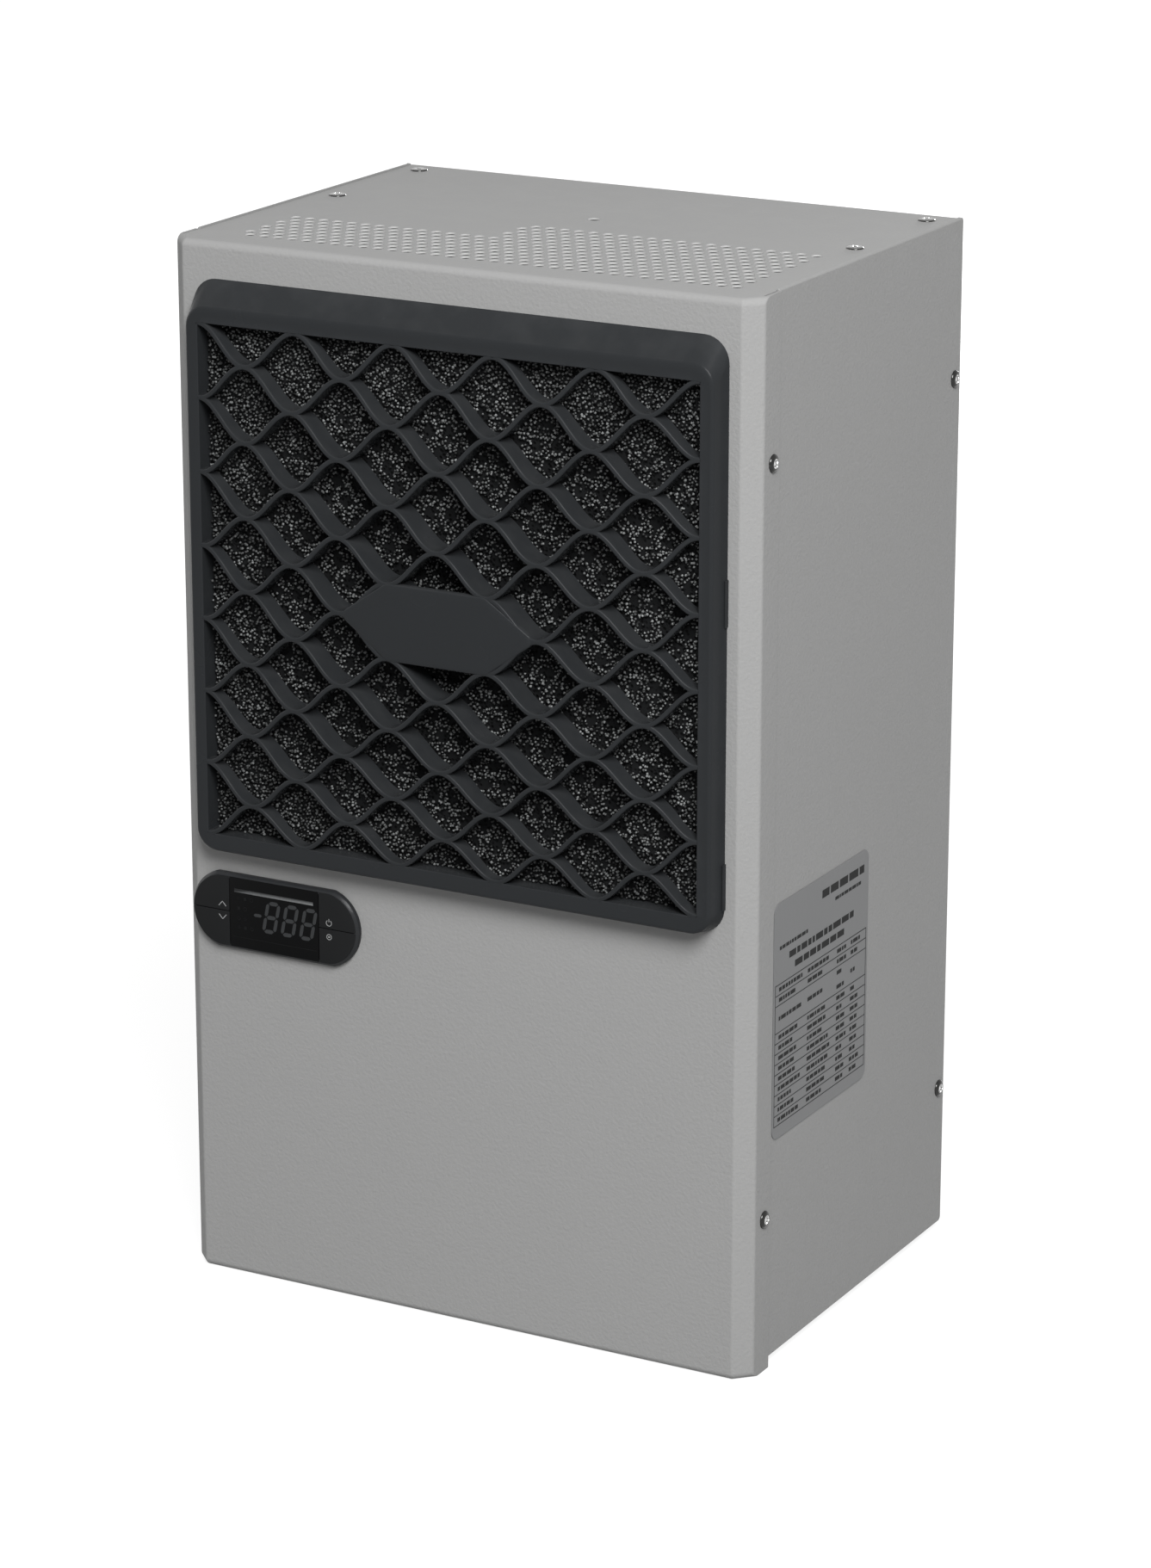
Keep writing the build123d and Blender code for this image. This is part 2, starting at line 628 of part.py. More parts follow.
def rear_socket(centre_x, width):
    """Plug-in terminal block on the rear, with one pocket for each pole."""
    body = block(centre_x - width / 2, centre_x + width / 2, REAR_FACE, REAR_FACE + SOCKET_PROUD,
                 SOCKET_LEVEL - POWER_SOCKET_HEIGHT / 2, SOCKET_LEVEL + POWER_SOCKET_HEIGHT / 2)
    poles = int(width // SOCKET_POLE_PITCH)
    for pole in range(poles):
        x = centre_x + (pole - (poles - 1) / 2) * SOCKET_POLE_PITCH
        body -= block(x - SOCKET_SLOT_WIDTH / 2, x + SOCKET_SLOT_WIDTH / 2,
                      REAR_FACE + SOCKET_PROUD / 2, REAR_FACE + SOCKET_PROUD + CUT_MARGIN,
                      SOCKET_LEVEL - SOCKET_SLOT_HEIGHT / 2, SOCKET_LEVEL + SOCKET_SLOT_HEIGHT / 2)
    return body


def earth_stud():
    """Earthing stud and its nut on the rear."""
    nut_plane = Plane(origin=(EARTH_STUD_X, REAR_FACE, SOCKET_LEVEL), x_dir=(1, 0, 0), z_dir=(0, 1, 0))
    nut = extrude(nut_plane * RegularPolygon(EARTH_NUT_RADIUS, 6), amount=EARTH_NUT_HEIGHT)
    stud = extrude(nut_plane * Circle(EARTH_STUD_RADIUS), amount=SOCKET_PROUD)
    return nut + stud


def drain_plug():
    """Plug in the floor's drain hole."""
    stem = Cylinder(DRAIN_DIAMETER / 2 - SEAM_GAP, SHEET)
    cap = Cylinder(DRAIN_DIAMETER / 2 + DRAIN_CAP_MARGIN, DRAIN_CAP_HEIGHT)
    stem_place = Pos(0, DRAIN_DEPTH, SIDE_BOTTOM + SHEET / 2)
    return stem_place * stem + Pos(0, DRAIN_DEPTH, SIDE_BOTTOM - DRAIN_CAP_HEIGHT / 2) * cap


half_window = WINDOW_WIDTH / 2
save(front_cover(), "front_cover")
save(top_cover(), "top_cover")
right_side = side_panel()
save(right_side, "side_panel_right")
save(mirrored(right_side), "side_panel_left")
save(base_panel(), "base_panel")
save(rear_panel(), "rear_panel")
save(inner_block(), "inner_block")
save(grille_frame(), "grille_frame")
save(lattice() - badge(), "grille_lattice")
save(badge(), "badge_plate")
save(foam_filter(), "foam_filter")
save(grille_tabs(-1), "grille_tabs_left")
save(grille_tabs(1), "grille_tabs_right")
save(controller_housing(), "controller_housing")
save(controller_insert(-half_window, half_window, -FAR, FAR, WINDOW_PROUD), "display_window")
save(controller_insert(-FAR, -half_window, 0, FAR, KEY_PROUD), "key_up")
save(controller_insert(-FAR, -half_window, -FAR, 0, KEY_PROUD), "key_down")
save(controller_insert(half_window, FAR, 0, FAR, KEY_PROUD), "key_set")
save(controller_insert(half_window, FAR, -FAR, 0, KEY_PROUD), "key_standby")
save(light_bar(), "light_bar")
save(rating_plate(), "rating_plate")
save(top_screws(), "top_screws")
save(side_screws(-1, HALF_WIDTH, FLANGE_SCREW_DEPTH), "flange_screws_left")
save(side_screws(1, HALF_WIDTH, FLANGE_SCREW_DEPTH), "flange_screws_right")
save(side_screws(-1, SIDE_OUTER, REAR_SCREW_DEPTH), "rear_screws_left")
save(side_screws(1, SIDE_OUTER, REAR_SCREW_DEPTH), "rear_screws_right")
save(gasket_strips(), "rear_gasket")
save(rear_socket(SOCKET_CENTRE_POWER_X, POWER_SOCKET_WIDTH), "power_socket")
save(rear_socket(SOCKET_CENTRE_SIGNAL_X, SIGNAL_SOCKET_WIDTH), "signal_socket")
save(earth_stud(), "earth_stud")
save(drain_plug(), "drain_plug")
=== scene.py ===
import json
import math
import random

import bmesh
import bpy
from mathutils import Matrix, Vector, noise


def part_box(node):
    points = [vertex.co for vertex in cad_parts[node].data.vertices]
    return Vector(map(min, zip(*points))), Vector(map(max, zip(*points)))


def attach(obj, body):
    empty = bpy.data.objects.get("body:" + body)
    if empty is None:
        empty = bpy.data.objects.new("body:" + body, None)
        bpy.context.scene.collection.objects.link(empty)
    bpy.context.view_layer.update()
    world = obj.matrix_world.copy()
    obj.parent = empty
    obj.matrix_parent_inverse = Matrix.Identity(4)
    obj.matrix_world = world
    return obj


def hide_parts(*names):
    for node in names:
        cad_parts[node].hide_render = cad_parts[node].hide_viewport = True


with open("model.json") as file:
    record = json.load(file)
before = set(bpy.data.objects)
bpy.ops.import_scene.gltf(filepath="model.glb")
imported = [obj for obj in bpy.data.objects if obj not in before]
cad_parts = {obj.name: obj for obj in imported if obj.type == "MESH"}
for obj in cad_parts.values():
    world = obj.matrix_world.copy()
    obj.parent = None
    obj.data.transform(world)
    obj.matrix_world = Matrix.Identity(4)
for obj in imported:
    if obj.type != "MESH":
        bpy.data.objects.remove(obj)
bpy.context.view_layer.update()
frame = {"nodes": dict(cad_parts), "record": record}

# Sizes in metres. Depths are counted from the plane of the case's front sheet.
MM = 0.001
FRONT = -92.25 * MM
HALF_WIDTH = 140.5 * MM
COVER_TOP = 471.2 * MM
SHEET = 1.5 * MM
CHAMFER = 7.0 * MM
FLANGE_DEPTH = 21.5 * MM
SHEET_EDGE_ROUNDING = 0.45 * MM
TOP_EDGE_ROUNDING = 1.1 * MM
BEND_RADIUS = 3.3 * MM
FOLD_RADIUS = 2.2 * MM
LEAST_FOLD_RADIUS = 0.25 * MM
TOP_GAP = 0.9 * MM
TOP_REAR_HALF = 137.7 * MM
SIDE_OUTER = 139.5 * MM
REAR_DEPTH = 200.0 * MM

GRILLE_DEPTH = 10.5 * MM
OPENING_HALF = 120.0 * MM
OPENING_BOTTOM = 210.9 * MM
OPENING_CORNER = 1.2 * MM
CELL_WIDTH = 24.0 * MM
CELL_HEIGHT = 32.43 * MM
CELL_COLUMNS = 10
CELL_ROWS = 7
RIB_WIDTH = 2.2 * MM
RIB_BACK = 4.6 * MM
RIB_CROWN = 1.2 * MM
DOME_RISE = 8.0 * MM
LATTICE_SAG = 4.0 * MM
OPENING_HEIGHT = CELL_HEIGHT * CELL_ROWS
OPENING_TOP = OPENING_BOTTOM + OPENING_HEIGHT
OPENING_CENTRE = OPENING_BOTTOM + OPENING_HEIGHT / 2

PERF_PITCH = 7.05 * MM
PERF_RADIUS = 2.45 * MM
PERF_HOLES = 34
PERF_FRONT_ROWS = 8
PERF_ROWS = 13
PERF_WIDE_START = 14
PERF_FIRST_DEPTH = 20.8 * MM
PERF_SHIFT = 2.5 * MM
HOLE_SIDES = 24
HOLE_WAIST = 0.975
TOP_SCREW_X = 127.3 * MM
TOP_SCREW_DEPTHS = (117.0 * MM, 188.5 * MM)
LIFTING_HOLE_DEPTH = 121.5 * MM
LIFTING_HOLE_RADIUS = 2.8 * MM

SCREW_LEVELS = (70.7 * MM, 401.3 * MM)
FLANGE_SCREW_DEPTH = 15.2 * MM
REAR_SCREW_DEPTH = 194.5 * MM
SCREW_SIDES = 36
SCREW_RADIUS = 3.9 * MM
SCREW_SHANK = 1.9 * MM
SCREW_RIM = 0.12 * MM

PANEL_X = -91.5 * MM
PANEL_Z = 173.4 * MM
PANEL_PROUD = 3.2 * MM
PANEL_GROWTH = (1 + 1.2 / 41, 1 + 1.2 / 16.3)
WINDOW_FRONT = PANEL_PROUD + 0.2 * MM
KEY_FRONT = PANEL_PROUD + 0.25 * MM
LIGHT_BAR_X = (-110.6 * MM, -69.9 * MM)
LIGHT_BAR_Z = 184.0 * MM
LIGHT_BAR_POINT = 7.0 * MM
FIGURE_PLACES = (-92.9 * MM, -83.4 * MM, -73.9 * MM)
FIGURE_LEAN = 0.2
MINUS_PLACE = -99.9 * MM
ICON_COLUMNS = (-109.6 * MM, -106.3 * MM, -103.0 * MM)
ICON_ROWS = (180.2 * MM, 175.6 * MM, 171.0 * MM, 166.8 * MM)
FOOT_LINE_Z = 162.2 * MM
ARROWS_X = -118.1 * MM
UP_ARROW_Z = 176.4 * MM
DOWN_ARROW_Z = 170.4 * MM
SIGN_LINE = 0.28 * MM
ARROW_LINE = 0.3 * MM
POWER_SIGN = (-63.2 * MM, 176.2 * MM)
SET_SIGN = (-63.2 * MM, 169.8 * MM)

BADGE_PROUD = 0.3 * MM
BADGE_CORNER = 4.5 * MM
FOAM_INSET = 0.3 * MM
FOAM_DEPTH = 2.0 * MM
FOAM_RELIEF = 0.5 * MM
FOAM_PITS_PER_METRE = 330
BEAD_PITCH = 1.5 * MM
BEAD_RADIUS = 0.7 * MM
BEAD_LENGTH = 1.15
BEAD_MARGIN = 1.2 * MM
BEAD_DEPTH = 3.2 * MM
FOAM_HOLE_PITCH = 10.2 * MM
FOAM_HOLE_RADIUS = 2.9 * MM
FOAM_MIDDLE_X = 22.0 * MM
FOAM_MIDDLE_Z = OPENING_CENTRE - 8.0 * MM
FOAM_MIDDLE_REACH = (150.0 * MM, 118.0 * MM)
FOAM_MIDDLE_FADE = 0.7

# Depths in the punched holes below which the wall is painted darker, as painted shade of the hole's inside,
# and below which it is fully dark
HOLE_SHADE_STARTS = 0.6 * MM
HOLE_SHADE_FULL = 0.75 * MM

# Stage and camera. The camera's place and angles are fitted to the photo's corners of the case.
FLOOR_HALF = 6.0
LAMP_AIM = 0.24
PHOTO_LONG_SIDE = 1822
FOCAL_PIXELS = 5725.4
CAMERA_AZIMUTH = 28.71
CAMERA_ELEVATION = 17.24
CAMERA_PLACE = (1007.0 * MM, (-1733.9 - 92.25) * MM, 870.2 * MM)


# Node helpers

def link(tree, source, target):
    tree.links.new(source, target)


def feed(tree, target, value):
    """Links a socket to an input, or sets the input to a plain value."""
    if isinstance(value, bpy.types.NodeSocket):
        link(tree, value, target)
    else:
        target.default_value = value


def feed_inputs(tree, node, inputs):
    """Feeds a node's inputs, named or numbered, with sockets or plain values."""
    for label, value in inputs.items():
        feed(tree, node.inputs[label], value)


def add_node(tree, kind, inputs=None, **settings):
    node = tree.nodes.new(kind)
    for key, value in settings.items():
        setattr(node, key, value)
    feed_inputs(tree, node, inputs or {})
    return node


def first_output(tree, kind, inputs=None, **settings):
    return add_node(tree, kind, inputs, **settings).outputs[0]


def math_node(tree, operation, *values):
    """A Math node on sockets or numbers, and its output."""
    return first_output(tree, "ShaderNodeMath", dict(enumerate(values)), operation=operation)


def times(tree, first, second):
    return math_node(tree, "MULTIPLY", first, second)


def plus(tree, first, second):
    return math_node(tree, "ADD", first, second)


def less(tree, first, second):
    return math_node(tree, "SUBTRACT", first, second)


def vector_product(tree, first, second):
    return first_output(tree, "ShaderNodeVectorMath", {0: first, 1: second}, operation="MULTIPLY")


def split_vector(tree, vector):
    return add_node(tree, "ShaderNodeSeparateXYZ", {0: vector}).outputs


def combine_vector(tree, x, y, z):
    return first_output(tree, "ShaderNodeCombineXYZ", {"X": x, "Y": y, "Z": z})


def object_place(tree):
    """Object coordinates, in metres on the piece itself."""
    return add_node(tree, "ShaderNodeTexCoord").outputs["Object"]


def noise_value(tree, place, scale, detail=2.0, distortion=0.0):
    inputs = {"Vector": place, "Scale": scale, "Detail": detail, "Distortion": distortion}
    return add_node(tree, "ShaderNodeTexNoise", inputs).outputs["Fac"]


def bump_normal(tree, height, distance):
    return first_output(tree, "ShaderNodeBump", {"Strength": 1.0, "Distance": distance, "Height": height})


def mix_colour(tree, factor, first, second):
    """A colour mix whose inputs are sockets, numbers or colours, and its output."""
    inputs = {"Factor": factor, 6: first, 7: second}
    return add_node(tree, "ShaderNodeMix", inputs, data_type="RGBA").outputs[2]


def value_range(tree, value, low, high, to_low, to_high, smooth=False):
    """Carries a value from one range over to another and stops at its ends."""
    inputs = {"Value": value, "From Min": low, "From Max": high, "To Min": to_low, "To Max": to_high}
    interpolation = "SMOOTHSTEP" if smooth else "LINEAR"
    return add_node(tree, "ShaderNodeMapRange", inputs, interpolation_type=interpolation).outputs["Result"]


def new_tree(name, kind, inputs, outputs):
    """A node tree with named inputs and outputs, and the sockets inside that give and take them."""
    tree = bpy.data.node_groups.new(name, kind)
    for label, sort, default in inputs:
        socket = tree.interface.new_socket(label, in_out="INPUT", socket_type="NodeSocket" + sort)
        if default is not None:
            socket.default_value = default
    for label, sort in outputs:
        tree.interface.new_socket(label, in_out="OUTPUT", socket_type="NodeSocket" + sort)
    entry = add_node(tree, "NodeGroupInput")
    leave = add_node(tree, "NodeGroupOutput")
    return tree, entry.outputs, leave.inputs


# Shader node groups shared by several finishes

def add_group(tree, group, inputs):
    return add_node(tree, "ShaderNodeGroup", inputs, node_tree=group).outputs


def make_surface_grain():
    """Fine grain of paint or moulded plastic: a colour, a roughness and a normal."""
    group, given, out = new_tree(
        "surface_grain", "ShaderNodeTree",
        [("Scale", "Float", 700.0), ("Stretch", "Float", 1.0), ("Mottle", "Float", 0.05),
         ("Cloud", "Float", 0.02), ("Roughness", "Float", 0.5), ("Roughness Spread", "Float", 0.08),
         ("Height", "Float", 0.05), ("Color", "Color", (0.5, 0.5, 0.5, 1))],
        [("Color", "Color"), ("Roughness", "Float"), ("Normal", "Vector")])
    place = object_place(group)
    stretched = vector_product(group, place, combine_vector(group, 1.0, 1.0, given["Stretch"]))
    pimple = noise_value(group, stretched, given["Scale"], detail=1.2, distortion=0.25)
    broad = noise_value(group, place, times(group, given["Scale"], 0.035), detail=3)
    fine = less(group, pimple, 0.5)
    wide = less(group, broad, 0.5)
    shade = plus(group, times(group, fine, given["Mottle"]), times(group, wide, given["Cloud"]))
    tinted = {0: given["Color"], "Scale": plus(group, shade, 1.0)}
    link(group, first_output(group, "ShaderNodeVectorMath", tinted, operation="SCALE"), out["Color"])
    rough = plus(group, given["Roughness"], times(group, wide, given["Roughness Spread"]))
    link(group, rough, out["Roughness"])
    link(group, bump_normal(group, pimple, times(group, given["Height"], MM)), out["Normal"])
    return group


def make_edge_wear_and_highlight():
    """Lightens convex edges, as wear and, on the grille, as a painted highlight, with dust that gathers on
    upward faces.
    """
    group, given, out = new_tree(
        "edge_wear_highlight_and_dust", "ShaderNodeTree",
        [("Color", "Color", (0.5, 0.5, 0.5, 1)), ("Edge Color", "Color", (0.8, 0.8, 0.8, 1)),
         ("Edge", "Float", 0.3), ("Dust", "Float", 0.1), ("Dust Color", "Color", (0.4, 0.39, 0.37, 1))],
        [("Color", "Color")])
    geometry = add_node(group, "ShaderNodeNewGeometry")
    edge = value_range(group, geometry.outputs["Pointiness"], 0.52, 0.6, 0, 1)
    patch = noise_value(group, object_place(group), 90, detail=4)
    broken = value_range(group, patch, 0.4, 0.65, 0.25, 1)
    mask = times(group, times(group, edge, broken), given["Edge"])
    lightened_edges = mix_colour(group, mask, given["Color"], given["Edge Color"])
    upward = value_range(group, split_vector(group, geometry.outputs["Normal"])["Z"], 0.3, 1.0, 0, 1)
    dusty = times(group, times(group, upward, broken), given["Dust"])
    link(group, mix_colour(group, dusty, lightened_edges, given["Dust Color"]), out["Color"])
    return group


SURFACE_GRAIN = make_surface_grain()
EDGE_WEAR_AND_HIGHLIGHT = make_edge_wear_and_highlight()


# Finishes

FINISHES = {}


def new_material(name, shader_values):
    """A material with its Principled shader set, kept under its name, with its nodes and that shader."""
    material = bpy.data.materials.new(name)
    FINISHES[name] = material
    material.use_nodes = True
    shader = material.node_tree.nodes["Principled BSDF"]
    for key, value in shader_values.items():
        shader.inputs[key].default_value = value
    return material, material.node_tree, shader


def grained(name, colour, scale, mottle, roughness, height, specular=0.5, metallic=0.0, stretch=1.0,
            edge=0.0, edge_colour=(0.7, 0.7, 0.7, 1), dust=0.0, top_share=1.0):
    """A painted, moulded or metal finish with grain, lightened edges (wear, and on the grille a painted
    highlight) and dust.

    The grain's scale counts per metre and its height is in millimetres. On upward faces the relief comes
    down to the top share of its height.
    """
    material, tree, shader = new_material(name, {"Specular IOR Level": specular, "Metallic": metallic})
    relief = height
    if top_share != 1.0:
        facing = split_vector(tree, add_node(tree, "ShaderNodeNewGeometry").outputs["Normal"])
        relief = value_range(tree, facing["Z"], 0.3, 0.9, height, height * top_share)
    grain = add_group(tree, SURFACE_GRAIN, {
        "Scale": scale, "Stretch": stretch, "Mottle": mottle, "Cloud": 0.02, "Roughness": roughness,
        "Roughness Spread": 0.08, "Height": relief, "Color": colour})
    wear = add_group(tree, EDGE_WEAR_AND_HIGHLIGHT, {
        "Color": grain["Color"], "Edge": edge, "Edge Color": edge_colour, "Dust": dust})
    link(tree, wear["Color"], shader.inputs["Base Color"])
    link(tree, grain["Roughness"], shader.inputs["Roughness"])
    link(tree, grain["Normal"], shader.inputs["Normal"])
    return material


def foam_backlit_middle_mask(tree, flat):
    """1 in the sheet's middle and lower right, where holes show through the foam, and 0 near its edges; it
    places painted light on the knots there.
    """
    across = math_node(tree, "DIVIDE", less(tree, flat["X"], FOAM_MIDDLE_X), FOAM_MIDDLE_REACH[0])
    up = math_node(tree, "DIVIDE", less(tree, flat["Z"], FOAM_MIDDLE_Z), FOAM_MIDDLE_REACH[1])
    away = math_node(tree, "SQRT", plus(tree, times(tree, across, across), times(tree, up, up)))
    return value_range(tree, away, FOAM_MIDDLE_FADE, 1.0, 1, 0, smooth=True)


def make_foam_beads():
    """The foam's strut knots: every bead has its own tone, and the sheet's middle is painted a little
    brighter, as painted light from the pale sheet behind.
    """
    material, tree, shader = new_material("foam_beads", {"Specular IOR Level": 0.3, "Roughness": 0.42})
    place = object_place(tree)
    cloud = noise_value(tree, place, 190)
    own = add_node(tree, "ShaderNodeAttribute", attribute_name="bead_shade")
    lively = math_node(tree, "POWER", own.outputs["Fac"], 1.2)
    patchy = times(tree, lively, value_range(tree, cloud, 0.35, 0.65, 0.45, 1.25))
    middle = foam_backlit_middle_mask(tree, split_vector(tree, place))
    # Painted light: knots in the sheet's middle are brightened as if lit from the pale sheet behind the foam
    shade = times(tree, patchy, value_range(tree, middle, 0, 1, 0.84, 1.25))
    base = mix_colour(tree, math_node(tree, "MINIMUM", shade, 1.0), (0.005, 0.0053, 0.0055, 1),
                      (0.22, 0.227, 0.227, 1))
    link(tree, base, shader.inputs["Base Color"])
    return material


def make_foam_dark():
    """The foam's shaded depth: nearly black, rough and pitted."""
    material, tree, shader = new_material("filter_foam", {"Specular IOR Level": 0.05, "Roughness": 0.95})
    pits = add_node(tree, "ShaderNodeTexVoronoi", {"Scale": 520, "Vector": object_place(tree)}, feature="F1")
    depth = value_range(tree, pits.outputs["Distance"], 0.1, 0.5, 0, 1)
    # The pits' centres are painted darker: painted shade in the pits
    base = mix_colour(tree, depth, (0.0035, 0.0036, 0.0038, 1), (0.011, 0.0115, 0.012, 1))
    link(tree, base, shader.inputs["Base Color"])
    link(tree, bump_normal(tree, depth, 0.6 * MM), shader.inputs["Normal"])
    return material


def make_hole_wall_painted_light():
    """Walls of the punched holes: a painted highlight on the upper wall, paler than the case's paint, and
    painted shade below, where the hole's inside lies in shade.
    """
    material, tree, shader = new_material("hole_wall_painted_light", {"Roughness": 0.45, "Specular IOR Level": 0.3})
    place = object_place(tree)
    ragged = times(tree, less(tree, noise_value(tree, place, 900), 0.5), 0.2 * MM)
    edge = plus(tree, split_vector(tree, place)["Z"], ragged)
    hole_lit_share = value_range(tree, edge, COVER_TOP - HOLE_SHADE_FULL, COVER_TOP - HOLE_SHADE_STARTS, 0, 1)
    # Pale upper wall: painted highlight; dark lower wall: painted shade of the hole's depth
    base = mix_colour(tree, hole_lit_share, (0.025, 0.025, 0.025, 1), (0.47, 0.47, 0.465, 1))
    link(tree, base, shader.inputs["Base Color"])
    return material


def make_screw_steel():
    """Steel with painted reflections: dark where the shape's tone paints the dome's reflection of dark
    surroundings, and a paler centre around the recess as a painted highlight.
    """
    material, tree, shader = new_material("screw_steel", {"Metallic": 1.0})
    tone = add_node(tree, "ShaderNodeAttribute", attribute_name="head_reflection_tone")
    steel = mix_colour(tree, tone.outputs["Fac"], (0.04, 0.04, 0.039, 1), (0.6, 0.6, 0.595, 1))
    grain = add_group(tree, SURFACE_GRAIN, {
        "Scale": 1400, "Mottle": 0.2, "Cloud": 0.1, "Roughness": 0.16, "Roughness Spread": 0.1,
        "Height": 0.004, "Color": steel})
    for label, socket in (("Color", "Base Color"), ("Roughness", "Roughness"), ("Normal", "Normal")):
        link(tree, grain[label], shader.inputs[socket])
    return material


def make_light_lens():
    """Smoked lens of the status light: dark above, with a pale lower edge that thickens to the right."""
    material, tree, shader = new_material("light_lens", {"Roughness": 0.3, "Specular IOR Level": 0.1})
    place = object_place(tree)
    flat = split_vector(tree, place)
    left, right = LIGHT_BAR_X
    along = value_range(tree, flat["X"], left, right, 0.6, 1.0)
    slant = value_range(tree, flat["X"], left, left + LIGHT_BAR_POINT, 1.1 * MM, 0)
    level = less(tree, less(tree, LIGHT_BAR_Z + 0.8 * MM, flat["Z"]), slant)
    low = value_range(tree, level, 0.0, 1.7 * MM, 0, 1, smooth=True)
    frost = value_range(tree, noise_value(tree, place, 1500), 0.3, 0.7, 0.85, 1.15)
    share = math_node(tree, "MINIMUM", times(tree, times(tree, low, along), frost), 1.0)
    base = mix_colour(tree, share, (0.014, 0.0145, 0.015, 1), (0.15, 0.154, 0.157, 1))
    link(tree, base, shader.inputs["Base Color"])
    return material


case_paint = grained(
    "case_paint", (0.283, 0.283, 0.281, 1), scale=660, mottle=0.05, roughness=0.58, height=0.17,
    specular=0.05, edge=0.08, edge_colour=(0.38, 0.38, 0.38, 1), dust=0.02, top_share=0.35)
# The grille's lighter edges are a painted highlight along the edges of its ribs and frame
grille_plastic = grained(
    "grille_plastic", (0.0203, 0.0219, 0.0236, 1), scale=1500, mottle=0.1, roughness=0.26, height=0.004,
    specular=0.06, edge=0.12, edge_colour=(0.05, 0.053, 0.057, 1), dust=0.02)
controller_plastic = grained(
    "controller_plastic", (0.019, 0.02, 0.0215, 1), scale=1800, mottle=0.1, roughness=0.3, height=0.004,
    specular=0.11, edge=0.25, edge_colour=(0.04, 0.04, 0.044, 1))
key_film = grained(
    "key_film", (0.0112, 0.0116, 0.0121, 1), scale=2200, mottle=0.12, roughness=0.5, height=0.004,
    specular=0.05)
display_film = grained(
    "display_film", (0.0032, 0.0033, 0.0035, 1), scale=300, mottle=0.08, roughness=0.22, height=0.001,
    specular=0.04)
digit_film = grained(
    "digit_film", (0.034, 0.0355, 0.037, 1), scale=900, mottle=0.2, roughness=0.4, height=0.002,
    specular=0.05)
faint_film = grained(
    "faint_film", (0.007, 0.0072, 0.0076, 1), scale=900, mottle=0.2, roughness=0.4, height=0.002,
    specular=0.05)
mark_ink = grained("mark_ink", (0.26, 0.265, 0.265, 1), scale=900, mottle=0.1, roughness=0.5, height=0.002)
plate_ink = grained(
    "plate_ink", (0.012, 0.012, 0.012, 1), scale=900, mottle=0.1, roughness=0.6, height=0.002, specular=0.1)
grained("plate_foil", (0.152, 0.154, 0.156, 1), scale=900, mottle=0.05, roughness=0.42, height=0.004,
        specular=0.2, stretch=0.12)
# Painted shade: the inner parts seen through the holes are coloured nearly black for the dark inside of the
# case
grained("inner_metal", (0.03, 0.03, 0.031, 1), scale=500, mottle=0.1, roughness=0.6, height=0.03)
grained("seal_foam", (0.02, 0.02, 0.021, 1), scale=1400, mottle=0.3, roughness=0.85, height=0.08)
grained("socket_plastic", (0.03, 0.12, 0.055, 1), scale=1200, mottle=0.1, roughness=0.45, height=0.01,
        edge=0.05)
grained("stud_brass", (0.55, 0.4, 0.16, 1), scale=1500, mottle=0.12, roughness=0.35, height=0.006,
        metallic=1.0, edge=0.25)
grained("plug_rubber", (0.018, 0.018, 0.019, 1), scale=1200, mottle=0.2, roughness=0.7, height=0.02)
hole_wall_painted_light = make_hole_wall_painted_light()
screw_steel = make_screw_steel()
filter_foam = make_foam_dark()
foam_beads = make_foam_beads()
make_light_lens()

for entry in frame["record"]["subparts"]:
    cad = frame["nodes"][entry["node"]]
    cad.data.materials.clear()
    cad.data.materials.append(FINISHES[entry["material_slot"]])


# Mesh helpers

def place_object(name, mesh, material=None, smooth_angle=None):
    """A new object at the origin with its finish, shaded smooth up to an angle."""
    piece = bpy.data.objects.new(name, mesh)
    bpy.context.scene.collection.objects.link(piece)
    if material:
        mesh.materials.clear()
        mesh.materials.append(material)
    if smooth_angle is not None:
        mesh.shade_smooth()
        mesh.set_sharp_from_angle(angle=math.radians(smooth_angle))
    return piece


def keep_flats(piece):
    """Lets the large faces set the shading, so that flat sheet looks flat beside its rounded folds."""
    weigh = piece.modifiers.new("flat_faces", "WEIGHTED_NORMAL")
    weigh.mode = "FACE_AREA"
    weigh.weight = 50
    weigh.keep_sharp = True
    return piece


def mesh_from(bm, name):
    mesh = bpy.data.meshes.new(name)
    bm.to_mesh(mesh)
    bm.free()
    return mesh


def closed_piece(bm, name, material, smooth_angle=None):
    """A mesh in work as a piece, with its faces turned outwards."""
    bmesh.ops.recalc_face_normals(bm, faces=bm.faces)
    return place_object(name, mesh_from(bm, name), material, smooth_angle)


def work_on(piece):
    bm = bmesh.new()
    bm.from_mesh(piece.data)
    return bm


def drop_helpers(*helpers):
    for helper in helpers:
        bpy.data.objects.remove(helper)


def ride(piece, slot, *nodes):
    """Puts a finished piece on the case and hides the nodes it stands for. Its slot is not used."""
    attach(piece, "root")
    if nodes:
        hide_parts(*nodes)


def bridge_loops(bm, loops, closed=True):
    """Quads between loops of points that have the same count."""
    rings = [[bm.verts.new(p) for p in loop] for loop in loops]
    for first, second in zip(rings, rings[1:]):
        count = len(first)
        for index in range(count if closed else count - 1):
            following = (index + 1) % count
            bm.faces.new((first[index], first[following], second[following], second[index]))
    return rings


def capped_loops(bm, loops):
    """Quads between loops, closed with a face at either end."""
    rings = bridge_loops(bm, loops)
    bm.faces.new(rings[-1])
    bm.faces.new(list(reversed(rings[0])))


